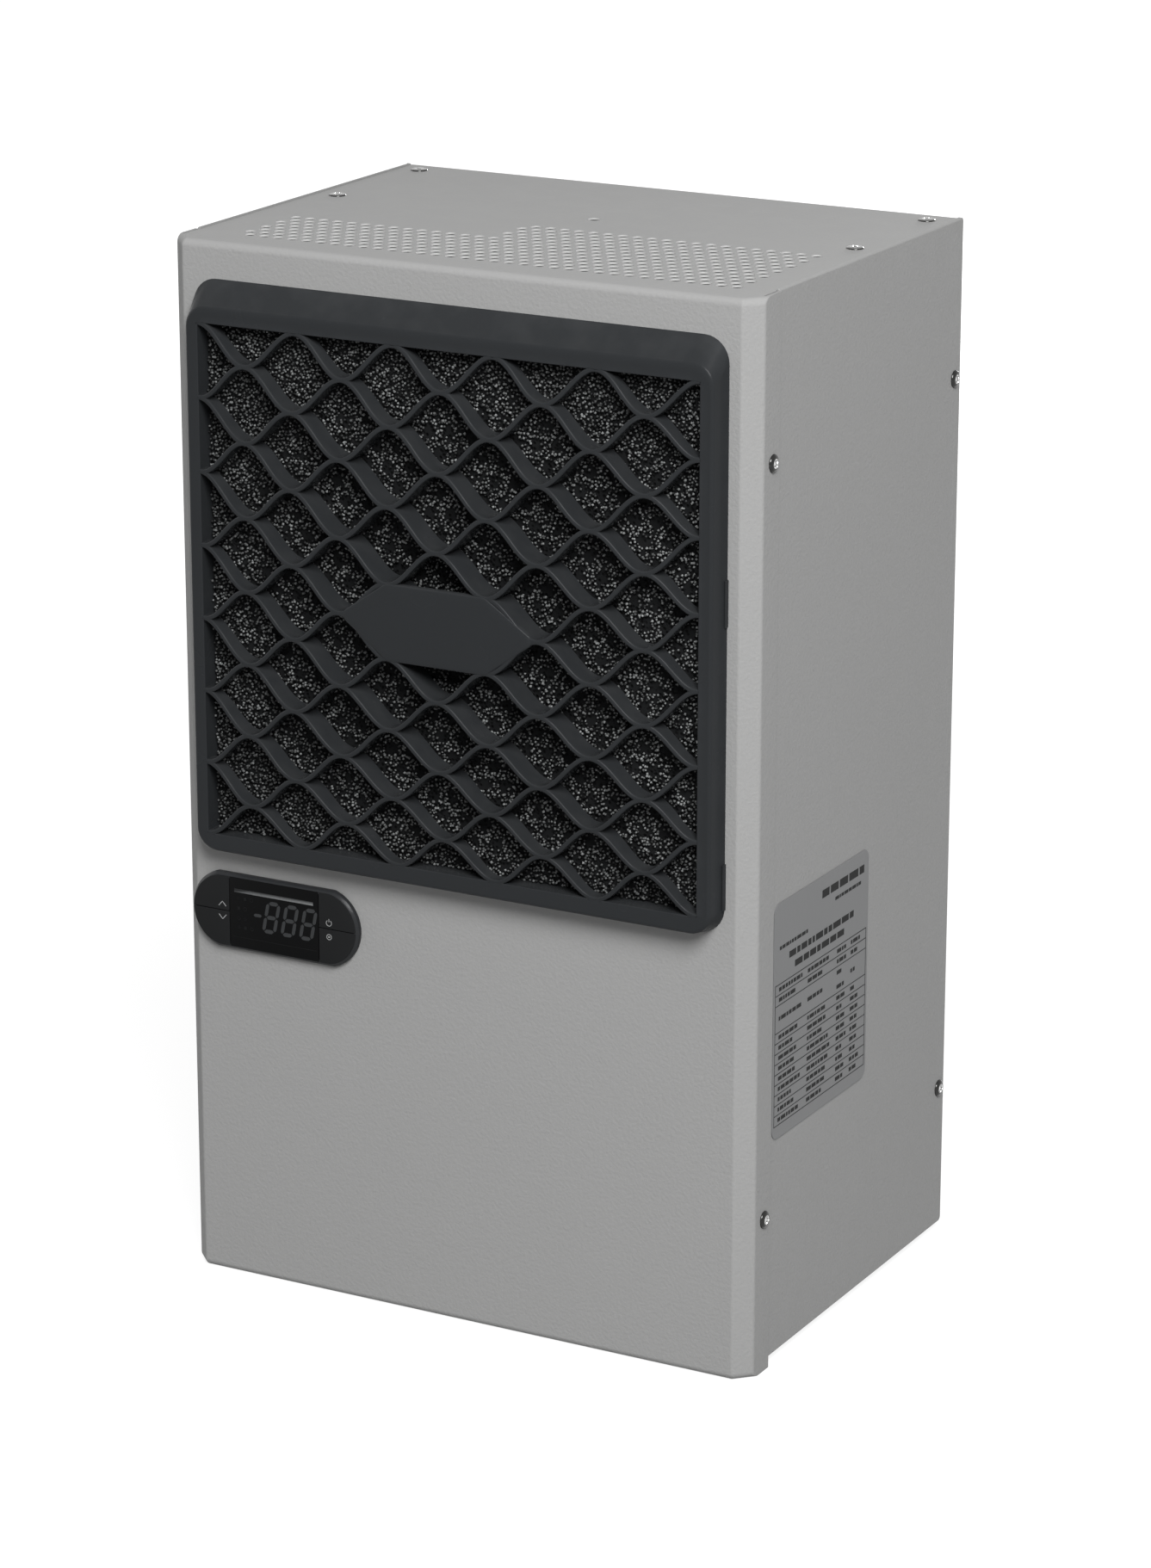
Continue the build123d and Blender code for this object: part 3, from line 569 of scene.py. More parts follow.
def bevelled_copy(node, name, material, width, crease=None, rolled=0.0, grow=None):
    """A merged copy of a CAD node with its sharp edges rounded.

    A crease is kept crisp past its angle. The outer top edges along the depth can be rolled over first,
    and the copy can grow in width and height around the controller's middle.
    """
    bm = work_on(frame["nodes"][node])
    bmesh.ops.remove_doubles(bm, verts=bm.verts, dist=1e-6)
    bmesh.ops.dissolve_limit(bm, angle_limit=math.radians(0.5), verts=bm.verts, edges=bm.edges)
    if rolled:
        top = max(v.co.z for v in bm.verts)
        reach = max(abs(v.co.x) for v in bm.verts)
        near = 0.05 * MM
        outer = {v for v in bm.verts if top - v.co.z < near and reach - abs(v.co.x) < near}
        edges = [e for e in bm.edges if all(v in outer for v in e.verts)]
        bmesh.ops.bevel(bm, geom=edges, offset=rolled, segments=6, profile=0.5, affect="EDGES")
    if grow:
        for vert in bm.verts:
            vert.co.x = PANEL_X + (vert.co.x - PANEL_X) * grow[0]
            vert.co.z = PANEL_Z + (vert.co.z - PANEL_Z) * grow[1]
    piece = place_object(name, mesh_from(bm, name), material)
    bevel = piece.modifiers.new("rounding", "BEVEL")
    bevel.width = width
    bevel.segments = 2
    bevel.limit_method = "ANGLE"
    bevel.angle_limit = math.radians(30)
    bevel.harden_normals = True
    piece.data.shade_smooth()
    if crease is not None:
        piece.data.set_sharp_from_angle(angle=math.radians(crease))
    return piece


# Geometry Nodes trees

def new_geometry_tree(name, inputs):
    """A tree with its named inputs, and with a material for what it makes."""
    inputs = [("Geometry", "Geometry", None)] + inputs + [("Material", "Material", None)]
    return new_tree(name, "GeometryNodeTree", inputs, [("Geometry", "Geometry")])


def on_points(tree, points, source, placing=()):
    """A copy of an object on every point, as instances."""
    shape = add_node(tree, "GeometryNodeObjectInfo", {"Object": source}).outputs["Geometry"]
    inputs = {"Points": points, "Instance": shape, **dict(placing)}
    return first_output(tree, "GeometryNodeInstanceOnPoints", inputs)


def real_faces(tree, instances):
    return first_output(tree, "GeometryNodeRealizeInstances", {0: instances})


def merged(tree, faces, distance):
    return first_output(tree, "GeometryNodeMergeByDistance", {"Geometry": faces, "Distance": distance})


def joined(tree, *parts):
    join = add_node(tree, "GeometryNodeJoinGeometry")
    for part in parts:
        link(tree, part, join.inputs[0])
    return join.outputs[0]


def end_tree(tree, faces, given, out):
    inputs = {"Geometry": faces, "Material": given["Material"]}
    link(tree, first_output(tree, "GeometryNodeSetMaterial", inputs), out["Geometry"])
    return tree


def make_repeat_tree():
    """Puts one shape on every point, turned as asked, as real and merged faces."""
    tree, given, out = new_geometry_tree(
        "repeat_on_points",
        [("Shape", "Object", None), ("Turn", "Vector", (0, 0, 0)), ("Twist Spread", "Float", 0.0),
         ("Seed", "Int", 3), ("Merge Distance", "Float", 1e-6)])
    spin = add_node(tree, "FunctionNodeRandomValue", {3: given["Twist Spread"], "Seed": given["Seed"]},
                    data_type="FLOAT").outputs[1]
    twist = first_output(tree, "FunctionNodeEulerToRotation", {0: combine_vector(tree, 0.0, 0.0, spin)})
    turn = first_output(tree, "FunctionNodeEulerToRotation", {0: given["Turn"]})
    both = first_output(tree, "FunctionNodeRotateRotation", {0: turn, 1: twist}, rotation_space="LOCAL")
    screws = on_points(tree, given["Geometry"], given["Shape"], {"Rotation": both})
    return end_tree(tree, merged(tree, real_faces(tree, screws), given["Merge Distance"]), given, out)


def make_dome_tree():
    """Repeats a lattice cell over its points, then domes the sheet and lowers its middle."""
    tree, given, out = new_geometry_tree(
        "domed_lattice",
        [("Cell", "Object", None), ("Half Width", "Float", 0.12), ("Half Height", "Float", 0.11),
         ("Centre Height", "Float", 0.3), ("Rise", "Float", 0.008), ("Sag", "Float", 0.004),
         ("Merge Distance", "Float", 1e-5)])
    cells = on_points(tree, given["Geometry"], given["Cell"])
    ribs = merged(tree, real_faces(tree, cells), given["Merge Distance"])
    place = split_vector(tree, first_output(tree, "GeometryNodeInputPosition"))
    across = math_node(tree, "DIVIDE", place["X"], given["Half Width"])
    up = math_node(tree, "DIVIDE", less(tree, place["Z"], given["Centre Height"]), given["Half Height"])

    def bowl(value):
        return math_node(tree, "MAXIMUM", less(tree, 1.0, times(tree, value, value)), 0.0)

    def arch(value):
        return math_node(tree, "MAXIMUM", math_node(tree, "COSINE", times(tree, value, math.pi / 2)), 0.0)

    front_share = value_range(tree, place["Y"], FRONT - GRILLE_DEPTH + RIB_CROWN, FRONT - RIB_BACK, 1, 0)
    lift = math_node(tree, "MINIMUM", bowl(across), bowl(up))
    forward = times(tree, times(tree, lift, front_share), given["Rise"])
    lower = times(tree, times(tree, arch(across), arch(up)), given["Sag"])
    shift = combine_vector(tree, 0.0, times(tree, forward, -1.0), times(tree, lower, -1.0))
    bent = first_output(tree, "GeometryNodeSetPosition", {"Geometry": ribs, "Offset": shift})
    return end_tree(tree, bent, given, out)


def make_punched_tree():
    """A flat sheet, filled inside its outline, with a rounded punched hole on every point."""
    tree, given, out = new_geometry_tree(
        "punched_sheet",
        [("Outline", "Object", None), ("Hole Edge", "Object", None), ("Hole Wall", "Object", None),
         ("Thickness", "Float", 0.0015), ("Merge Distance", "Float", 2e-6)])
    radius = add_node(tree, "GeometryNodeInputNamedAttribute", {"Name": "hole_radius"}, data_type="FLOAT")
    size = radius.outputs["Attribute"]
    scale = {"Scale": combine_vector(tree, size, size, 1.0)}
    edges, walls = (real_faces(tree, on_points(tree, given["Geometry"], given[source], scale))
                    for source in ("Hole Edge", "Hole Wall"))
    outline = add_node(tree, "GeometryNodeObjectInfo", {"Object": given["Outline"]}).outputs["Geometry"]
    curves = first_output(tree, "GeometryNodeMeshToCurve", {"Mesh": joined(tree, edges, outline)})
    face = first_output(tree, "GeometryNodeFillCurve", {0: curves})
    drop = combine_vector(tree, 0.0, 0.0, times(tree, given["Thickness"], -1.0))
    under = first_output(tree, "GeometryNodeTransform", {"Geometry": face, "Translation": drop})
    back = first_output(tree, "GeometryNodeFlipFaces", {0: under})
    whole = joined(tree, face, back, walls)
    return end_tree(tree, merged(tree, whole, given["Merge Distance"]), given, out)


def make_bead_tree():
    """Scatters a bead on every point: moved, turned and sized at random, each with a shade of its own."""
    tree, given, out = new_geometry_tree(
        "scattered_beads",
        [("Bead", "Object", None), ("Spread", "Float", 0.0007), ("Depth Spread", "Float", 0.0007),
         ("Smallest", "Float", 0.7), ("Largest", "Float", 1.2), ("Seed", "Int", 11)])

    def random_value(low, high, seed_shift):
        is_vector = isinstance(low, tuple)
        first = 0 if is_vector else 2
        inputs = {first: low, first + 1: high, "Seed": plus(tree, given["Seed"], seed_shift)}
        node = add_node(tree, "FunctionNodeRandomValue", data_type="FLOAT_VECTOR" if is_vector else "FLOAT")
        feed_inputs(tree, node, inputs)
        return node.outputs[0 if is_vector else 1]

    reach = combine_vector(tree, given["Spread"], given["Depth Spread"], given["Spread"])
    offset = vector_product(tree, random_value((-1, -1, -1), (1, 1, 1), 0), reach)
    moved = first_output(tree, "GeometryNodeSetPosition", {"Geometry": given["Geometry"], "Offset": offset})
    whole_turn = (6.28, 6.28, 6.28)
    turn = first_output(tree, "FunctionNodeEulerToRotation", {0: random_value((0, 0, 0), whole_turn, 1)})
    size = random_value(given["Smallest"], given["Largest"], 2)
    beads = on_points(tree, moved, given["Bead"],
                      {"Rotation": turn, "Scale": combine_vector(tree, size, size, size)})
    shaded = add_node(tree, "GeometryNodeStoreNamedAttribute", data_type="FLOAT", domain="INSTANCE")
    feed_inputs(tree, shaded, {"Geometry": beads, "Name": "bead_shade", "Value": random_value(0.0, 1.0, 3)})
    return end_tree(tree, real_faces(tree, shaded.outputs[0]), given, out)


REPEAT_TREE = make_repeat_tree()
BEAD_TREE = make_bead_tree()
DOME_TREE = make_dome_tree()
PUNCHED_TREE = make_punched_tree()


def run_tree(name, tree, points, values, material, smooth_angle=30, radii=None):
    """Runs a tree on a set of points and returns its result as a plain mesh piece."""
    mesh = bpy.data.meshes.new(name + "_points")
    mesh.from_pydata([tuple(p) for p in points], [], [])
    if radii:
        mesh.attributes.new("hole_radius", "FLOAT", "POINT").data.foreach_set("value", radii)
    owner = place_object(name + "_points", mesh)
    modifier = owner.modifiers.new(tree.name, "NODES")
    modifier.node_group = tree
    sockets = {item.name: item.identifier for item in tree.interface.items_tree if item.in_out == "INPUT"}
    for label, value in dict(values, Material=material).items():
        modifier[sockets[label]] = value
    bpy.context.view_layer.update()
    result = bpy.data.meshes.new_from_object(owner.evaluated_get(bpy.context.evaluated_depsgraph_get()))
    owner.modifiers.clear()
    bpy.data.objects.remove(owner)
    result.name = name
    return place_object(name, result, material, smooth_angle)


# Case cover: the front sheet with its folds, flanges and rounded top and bottom bends

def cover_sides():
    """The cover's five upright faces seen from above: outward normal and distance along it."""
    slope = math.sqrt(0.5)
    corner = (HALF_WIDTH - CHAMFER) * slope
    return [(Vector((-1, 0)), HALF_WIDTH), (Vector((-slope, -slope)), corner), (Vector((0, -1)), 0.0),
            (Vector((slope, -slope)), corner), (Vector((1, 0)), HALF_WIDTH)]


def meeting_point(first, second):
    """Where two lines meet, each given by its normal and its distance."""
    (a, b), d = first[0], first[1]
    (e, f), g = second[0], second[1]
    size = a * f - b * e
    return Vector(((d * f - b * g) / size, (a * g - d * e) / size))


def flange_points(flange_inset):
    """A flange's straight run to its rounded rear edge, as (x, depth) points of the right side."""
    knee = CHAMFER + BEND_RADIUS * math.sqrt(2) - flange_inset + 0.4 * MM
    reach = HALF_WIDTH - flange_inset
    turn = SHEET_EDGE_ROUNDING if flange_inset == 0 else 0.0
    run = [(reach, knee), (reach, FLANGE_DEPTH - SHEET_EDGE_ROUNDING),
           (reach - 0.3 * turn, FLANGE_DEPTH - 0.3 * SHEET_EDGE_ROUNDING), (reach - turn, FLANGE_DEPTH)]
    return [Vector(point) for point in run]


def fold_outline(flange_inset, face_inset, radius, steps=5):
    """The cover's outline drawn in by the insets, with rounded folds, as (x, depth) points."""
    insets = [flange_inset, face_inset, face_inset, face_inset, flange_inset]
    sides = [(normal, distance - inset) for (normal, distance), inset in zip(cover_sides(), insets)]
    flange = flange_points(flange_inset)
    points = [Vector((-p.x, p.y)) for p in reversed(flange)]
    for first, second in zip(sides, sides[1:]):
        middle = (first[0] + second[0]).normalized()
        half_turn = first[0].angle(second[0]) / 2
        centre = meeting_point(first, second) - middle * (radius / math.cos(half_turn))
        for step in range(steps + 1):
            points.append(centre + first[0].slerp(second[0], step / steps) * radius)
    return points + flange


def cover_rows(thickness):
    """Rows of the cover's skin from its foot to its top, at one depth within the sheet."""
    steps = 8
    bend = BEND_RADIUS - thickness
    flange_count = len(flange_points(thickness))
    low = []
    high = []
    for step in range(steps + 1):
        turn = math.pi / 2 * step / steps
        inset = bend * (1 - math.sin(turn))
        rise = thickness + bend * (1 - math.cos(turn))
        radius = max(FOLD_RADIUS - thickness - inset, LEAST_FOLD_RADIUS)
        points = fold_outline(thickness, thickness + inset, radius)
        low.append([(p.x, FRONT + p.y, rise) for p in points])
        # A flange's top edge is square, so its inner face goes up as far as its outer face
        on_flange = [min(k, len(points) - 1 - k) < flange_count for k in range(len(points))]
        high.append([(p.x, FRONT + p.y, COVER_TOP - (rise - thickness if square else rise))
                     for p, square in zip(points, on_flange)])
    return low + list(reversed(high))


def make_cover():
    """The folded cover as one closed sheet of real thickness, with its bottom lip."""
    bm = bmesh.new()
    outer = bridge_loops(bm, cover_rows(0.0), closed=False)
    inner = bridge_loops(bm, cover_rows(SHEET), closed=False)
    for end in (0, -1):
        for near, far, near_next, far_next in zip([r[end] for r in outer], [r[end] for r in inner],
                                                  [r[end] for r in outer[1:]], [r[end] for r in inner[1:]]):
            bm.faces.new((near, far, far_next, near_next))
    for near, far, near_next, far_next in zip(outer[-1], inner[-1], outer[-1][1:], inner[-1][1:]):
        bm.faces.new((near, far, far_next, near_next))
    bm.faces.new(outer[0])
    bm.faces.new(inner[0])
    bm.faces.new((outer[0][0], outer[0][-1], inner[0][-1], inner[0][0]))
    return keep_flats(closed_piece(bm, "case_front", case_paint, 35))


ride(make_cover(), "case_paint", "front_cover")


# Top sheet with its perforations

def perforation_centres():
    """Outlet holes: a long band in front and a deeper field on the right."""
    row_step = PERF_PITCH * math.sqrt(3) / 2
    half_span = (PERF_HOLES - 0.5) * PERF_PITCH / 2
    centres = []
    for row in range(PERF_ROWS):
        stagger = PERF_PITCH / 2 if row % 2 == 0 else 0
        first = 0 if row < PERF_FRONT_ROWS else PERF_WIDE_START
        for column in range(first, PERF_HOLES):
            centres.append((PERF_SHIFT - half_span + column * PERF_PITCH + stagger,
                            PERF_FIRST_DEPTH + row * row_step))
    return centres


def ring_points(radius, height, count):
    return [(radius * math.cos(2 * math.pi * k / count), radius * math.sin(2 * math.pi * k / count), height)
            for k in range(count)]


def wire_object(name, points):
    """A closed line through the points, as a helper."""
    mesh = bpy.data.meshes.new(name)
    mesh.from_pydata(points, [(k, (k + 1) % len(points)) for k in range(len(points))], [])
    return place_object(name, mesh)


def make_hole_wall():
    """A punched hole of radius 1 at its mouth: rounded lip, wall and rounded lower lip, facing inwards."""
    profile = [(1.0, 0.0), (0.99, -0.03 * MM), (0.98, -0.08 * MM), (HOLE_WAIST, -0.15 * MM),
               (HOLE_WAIST, -SHEET + 0.2 * MM), (1.0, -SHEET)]
    bm = bmesh.new()
    bridge_loops(bm, [ring_points(radius, height, HOLE_SIDES) for radius, height in reversed(profile)])
    bmesh.ops.recalc_face_normals(bm, faces=bm.faces)
    centres = [(face, face.calc_center_median()) for face in bm.faces]
    if sum(face.normal.dot(Vector((centre.x, centre.y, 0))) for face, centre in centres) > 0:
        bmesh.ops.reverse_faces(bm, faces=bm.faces)
    return place_object("hole_wall", mesh_from(bm, "hole_wall"))


def top_outline():
    """Corners of the flat top sheet, which narrows behind the cover's flanges."""
    sides = [(normal, distance - BEND_RADIUS) for normal, distance in cover_sides()]
    edge_right = (Vector((1, 0)), HALF_WIDTH - SHEET - TOP_GAP)
    front_corner = meeting_point(sides[2], sides[3])
    side_corner = meeting_point(sides[3], edge_right)
    right = [(front_corner.x, front_corner.y), (side_corner.x, side_corner.y), (side_corner.x, FLANGE_DEPTH),
             (TOP_REAR_HALF, FLANGE_DEPTH), (TOP_REAR_HALF, REAR_DEPTH)]
    return [(x, depth, 0) for x, depth in right + [(-x, depth) for x, depth in reversed(right)]]


def make_top_sheet():
    """The punched top sheet, whose hole walls carry a painted highlight above and painted shade below."""
    helpers = {"Outline": wire_object("top_outline", top_outline()),
               "Hole Edge": wire_object("hole_edge", ring_points(1.0, 0, HOLE_SIDES)),
               "Hole Wall": make_hole_wall()}
    holes = [(x, depth, PERF_RADIUS) for x, depth in perforation_centres()]
    holes.append((0, LIFTING_HOLE_DEPTH, LIFTING_HOLE_RADIUS))
    sheet = run_tree("case_top", PUNCHED_TREE, [(x, depth, 0) for x, depth, _ in holes],
                     dict(helpers, Thickness=SHEET), case_paint,
                     radii=[radius / HOLE_WAIST for _, _, radius in holes])
    drop_helpers(*helpers.values())
    bm = work_on(sheet)
    for face in bm.faces:
        if 0.05 * MM < -face.calc_center_median().z < SHEET - 0.05 * MM:
            face.material_index = 1
    border = [edge for edge in bm.edges if edge.is_boundary]
    rim = [edge for edge in border if all(abs(vert.co.z) < 1e-6 for vert in edge.verts)]
    foot = [edge for edge in border if all(vert.co.z < -1e-4 for vert in edge.verts)]
    bmesh.ops.bridge_loops(bm, edges=rim + foot)
    bmesh.ops.translate(bm, verts=bm.verts, vec=(0, FRONT, COVER_TOP))
    bm.to_mesh(sheet.data)
    bm.free()
    sheet.data.materials.append(hole_wall_painted_light)
    sheet.data.set_sharp_from_angle(angle=math.radians(30))
    return keep_flats(sheet)


ride(make_top_sheet(), "case_paint", "top_cover")

for side in ("left", "right"):
    panel = bevelled_copy(f"side_panel_{side}", f"case_side_{side}", case_paint, 0.3 * MM, crease=20,
                          rolled=TOP_EDGE_ROUNDING)
    ride(keep_flats(panel), "case_paint", f"side_panel_{side}")


# Grille frame

def rounded_loop(half_width, bottom, top, corner, depth, steps=8):
    """Points around a rectangle with rounded corners, anticlockwise from the upper right one."""
    loop = []
    centres = [(half_width - corner, top - corner, 0), (-half_width + corner, top - corner, 90),
               (-half_width + corner, bottom + corner, 180), (half_width - corner, bottom + corner, 270)]
    for x, z, start in centres:
        for step in range(steps + 1):
            angle = math.radians(start + 90 * step / steps)
            loop.append((x + corner * math.cos(angle), FRONT - depth, z + corner * math.sin(angle)))
    return loop


def make_grille_frame():
    """Frame with a steep edge at the sides and a hood-like slope at the top."""
    # Half width, bottom, top and corner radius where the frame meets the case, and at its front
    base = (128.0 * MM, 201.2 * MM, 455.3 * MM, 11.5 * MM)
    face = (126.0 * MM, 203.2 * MM, 444.2 * MM, 9.5 * MM)
    roundness = 1.5 * MM
    steps = 5
    loops = [rounded_loop(*base, 0.0)]
    knee = 1 - roundness / GRILLE_DEPTH
    spot = [b + (f - b) * knee for b, f in zip(base, face)]
    inset = [face[0] - roundness, face[1] + roundness, face[2] - roundness * 1.6, face[3] - roundness]
    for step in range(steps + 1):
        turn = math.pi / 2 * step / steps
        blend = 1 - math.cos(turn)
        depth = GRILLE_DEPTH - roundness + roundness * math.sin(turn)
        loops.append(rounded_loop(*[s + (i - s) * blend for s, i in zip(spot, inset)], depth))
    lip = 0.4 * MM
    for step in range(4):
        turn = math.pi / 2 * step / 3
        grow = lip * (1 - math.sin(turn))
        loops.append(rounded_loop(OPENING_HALF + grow, OPENING_BOTTOM - grow, OPENING_TOP + grow,
                                  OPENING_CORNER + grow, GRILLE_DEPTH - lip * (1 - math.cos(turn))))
    loops.append(rounded_loop(OPENING_HALF, OPENING_BOTTOM, OPENING_TOP, OPENING_CORNER, 0.0))
    bm = bmesh.new()
    rings = bridge_loops(bm, loops)
    first, last = rings[0], rings[-1]
    count = len(first)
    for index in range(count):
        following = (index + 1) % count
        bm.faces.new((first[following], first[index], last[index], last[following]))
    return keep_flats(closed_piece(bm, "grille_surround", grille_plastic, 40))


ride(make_grille_frame(), "grille_plastic", "grille_frame")


# Lattice

def cell_height_at(u, inset):
    """Half height of a lattice cell, u to the side of its middle and inset from the rib's middle."""
    middle = CELL_HEIGHT / 2 * math.cos(math.pi * u / (2 * CELL_WIDTH)) ** 2
    slope = math.pi * CELL_HEIGHT / (4 * CELL_WIDTH) * math.sin(math.pi * u / CELL_WIDTH)
    return middle - inset * math.sqrt(1 + slope * slope)


def cell_reach(inset):
    """How far an inset cell reaches to each side, found by halving."""
    low, high = 0.0, CELL_WIDTH
    for _ in range(40):
        middle = (low + high) / 2
        if cell_height_at(middle, inset) > 0:
            low = middle
        else:
            high = middle
    return low


def cell_loop(inset, depth, steps=12):
    """One closed outline of a cell: round above and below, pointed to the left and right."""
    reach = CELL_WIDTH if inset == 0 else cell_reach(inset)
    upper = []
    lower = []
    for step in range(2 * steps + 1):
        u = reach * (step / steps - 1)
        height = max(cell_height_at(u, inset), 0.0)
        upper.append((u, FRONT - depth, height))
        if 0 < step < 2 * steps:
            lower.append((u, FRONT - depth, -height))
    return upper + list(reversed(lower))


def make_lattice_cell():
    """One cell's share of the ribs around it: crowned front, side wall and back."""
    wall = RIB_WIDTH / 2
    # Shares of the half width, and how far the crown has dropped there in millimetres
    crown = [(0.0, 0.0), (0.3, 0.0), (0.52, 0.05), (0.72, 0.17), (0.88, 0.38), (0.97, 0.68), (1.0, 1.1)]
    loops = [cell_loop(wall * share, GRILLE_DEPTH - drop * MM) for share, drop in crown]
    loops.append(cell_loop(wall, RIB_BACK))
    loops.append(cell_loop(0.0, RIB_BACK))
    bm = bmesh.new()
    bridge_loops(bm, loops)
    bmesh.ops.remove_doubles(bm, verts=bm.verts, dist=1e-7)
    bmesh.ops.recalc_face_normals(bm, faces=bm.faces)
    crest = FRONT - GRILLE_DEPTH + 0.1 * MM
    if sum(face.normal.y for face in bm.faces if face.calc_center_median().y < crest) > 0:
        bmesh.ops.reverse_faces(bm, faces=bm.faces)
    return place_object("lattice_cell", mesh_from(bm, "lattice_cell"))


def make_lattice():
    """The whole lattice, trimmed just inside the frame's opening."""
    centres = []
    for column in range(CELL_COLUMNS + 1):
        x = (column - CELL_COLUMNS / 2) * CELL_WIDTH
        shift = 0.5 if column % 2 == 0 else 0
        for row in range(CELL_ROWS + (column % 2)):
            centres.append((x, 0, OPENING_TOP - (row + shift) * CELL_HEIGHT))
    cell = make_lattice_cell()
    piece = run_tree("grille_ribs", DOME_TREE, centres,
                     {"Cell": cell, "Half Width": OPENING_HALF, "Half Height": OPENING_HEIGHT / 2,
                      "Centre Height": OPENING_CENTRE, "Rise": DOME_RISE - BADGE_PROUD, "Sag": LATTICE_SAG,
                      "Merge Distance": 2e-5}, grille_plastic)
    drop_helpers(cell)
    bm = work_on(piece)
    reach = 0.5 * MM
    limits = [((OPENING_HALF + reach, 0, 0), (1, 0, 0)), ((-OPENING_HALF - reach, 0, 0), (-1, 0, 0)),
              ((0, 0, OPENING_TOP + reach), (0, 0, 1)), ((0, 0, OPENING_BOTTOM - reach), (0, 0, -1))]
    for point, normal in limits:
        cut = bmesh.ops.bisect_plane(bm, geom=bm.verts[:] + bm.edges[:] + bm.faces[:], plane_co=point,
                                     plane_no=normal, clear_outer=True, dist=1e-7)
        edges = [item for item in cut["geom_cut"] if isinstance(item, bmesh.types.BMEdge)]
        bmesh.ops.holes_fill(bm, edges=edges, sides=0)
    bmesh.ops.recalc_face_normals(bm, faces=bm.faces)
    bm.to_mesh(piece.data)
    bm.free()
    piece.data.shade_smooth()
    piece.data.set_sharp_from_angle(angle=math.radians(40))
    return piece


ride(make_lattice(), "grille_plastic", "grille_lattice")


# Filter foam: a dark pitted sheet with the paler knots of its struts in front

def make_foam_sheet():
    """Closed sheet whose front is pitted like torn open cells."""
    half = OPENING_HALF - FOAM_INSET
    low = OPENING_BOTTOM + FOAM_INSET
    high = OPENING_TOP - FOAM_INSET
    columns, rows = 96, 90
    bm = bmesh.new()
    grid = []
    for row in range(rows + 1):
        z = low + (high - low) * row / rows
        line = []
        for column in range(columns + 1):
            x = -half + 2 * half * column / columns
            lift = noise.noise(Vector((x, z, 0)) * FOAM_PITS_PER_METRE) * FOAM_RELIEF
            line.append(bm.verts.new((x, FRONT - FOAM_DEPTH - lift, z)))
        grid.append(line)
    for lower, upper in zip(grid, grid[1:]):
        for column in range(columns):
            bm.faces.new((lower[column], lower[column + 1], upper[column + 1], upper[column]))
    ring = grid[0] + [line[-1] for line in grid[1:-1]] + grid[-1][::-1] + [line[0] for line in grid[-2:0:-1]]
    back = [bm.verts.new((vert.co.x, FRONT, vert.co.z)) for vert in ring]
    for index, vert in enumerate(ring):
        following = (index + 1) % len(ring)
        bm.faces.new((vert, ring[following], back[following], back[index]))
    bm.faces.new(back)
    return closed_piece(bm, "foam_sheet", filter_foam, 60)


def hole_share(x, z):
    """How surely a knot is lost in a hole behind the foam: nearly 1 in the middle, 0 near the edges."""
    away = math.hypot((x - FOAM_MIDDLE_X) / FOAM_MIDDLE_REACH[0], (z - FOAM_MIDDLE_Z) / FOAM_MIDDLE_REACH[1])
    row_step = FOAM_HOLE_PITCH * math.sqrt(3) / 2
    row = z / row_step
    column = x / FOAM_HOLE_PITCH + 0.5 * (math.floor(row) % 2)
    off_centre = math.hypot((column % 1 - 0.5) * FOAM_HOLE_PITCH, (row % 1 - 0.5) * row_step)
    if off_centre >= FOAM_HOLE_RADIUS:
        return 0.0
    return min(max((1.0 - away) / (1.0 - FOAM_MIDDLE_FADE), 0.0), 0.95)


def make_foam_knots():
    """Small eight-sided beads all over the sheet's front, but for the rounds where holes show through it."""
    draw = random.Random(7)
    tall = BEAD_RADIUS * BEAD_LENGTH
    tips = [(BEAD_RADIUS, 0, 0), (-BEAD_RADIUS, 0, 0), (0, BEAD_RADIUS, 0), (0, -BEAD_RADIUS, 0),
            (0, 0, tall), (0, 0, -tall)]
    sides = [(0, 2), (2, 1), (1, 3), (3, 0)]
    bead = bpy.data.meshes.new("foam_bead")
    bead.from_pydata(tips, [], [(a, b, 4) for a, b in sides] + [(b, a, 5) for a, b in sides])
    holder = place_object("foam_bead", bead)
    columns = int((2 * OPENING_HALF - 2 * BEAD_MARGIN) / BEAD_PITCH)
    rows = int((OPENING_HEIGHT - 2 * BEAD_MARGIN) / BEAD_PITCH)
    points = []
    for row in range(rows + 1):
        z = OPENING_BOTTOM + BEAD_MARGIN + row * BEAD_PITCH
        for column in range(columns):
            x = -OPENING_HALF + BEAD_MARGIN + (column + 0.5 * (row % 2)) * BEAD_PITCH
            # Knots are left out in the rounds, so that the nearly black sheet shows there as painted shade
            # of the holes behind
            if draw.random() >= hole_share(x, z):
                points.append((x, FRONT - BEAD_DEPTH, z))
    knots = run_tree("foam_knots", BEAD_TREE, points,
                     {"Bead": holder, "Spread": 0.7 * MM, "Depth Spread": 0.6 * MM, "Smallest": 0.75,
                      "Largest": 1.2, "Seed": 11}, foam_beads, 180)
    drop_helpers(holder)
    return knots


ride(make_foam_sheet(), "filter_foam", "foam_filter")
ride(make_foam_knots(), "filter_foam")


# Badge: a bare plate on the ribs around the grille's centre

def dome_front(x, z):
    """How far the lattice's front stands forward at a place."""
    across = 1 - (x / OPENING_HALF) ** 2
    up = 1 - ((z - OPENING_CENTRE) / (OPENING_HEIGHT / 2)) ** 2
    return GRILLE_DEPTH + DOME_RISE * max(min(across, up), 0)


def lowered(x, z):
    """The height at which a place ends up, once the ribs are lowered in the middle."""
    across = max(math.cos(math.pi * x / (2 * OPENING_HALF)), 0)
    up = max(math.cos(math.pi * (z - OPENING_CENTRE) / OPENING_HEIGHT), 0)
    return z - LATTICE_SAG * across * up


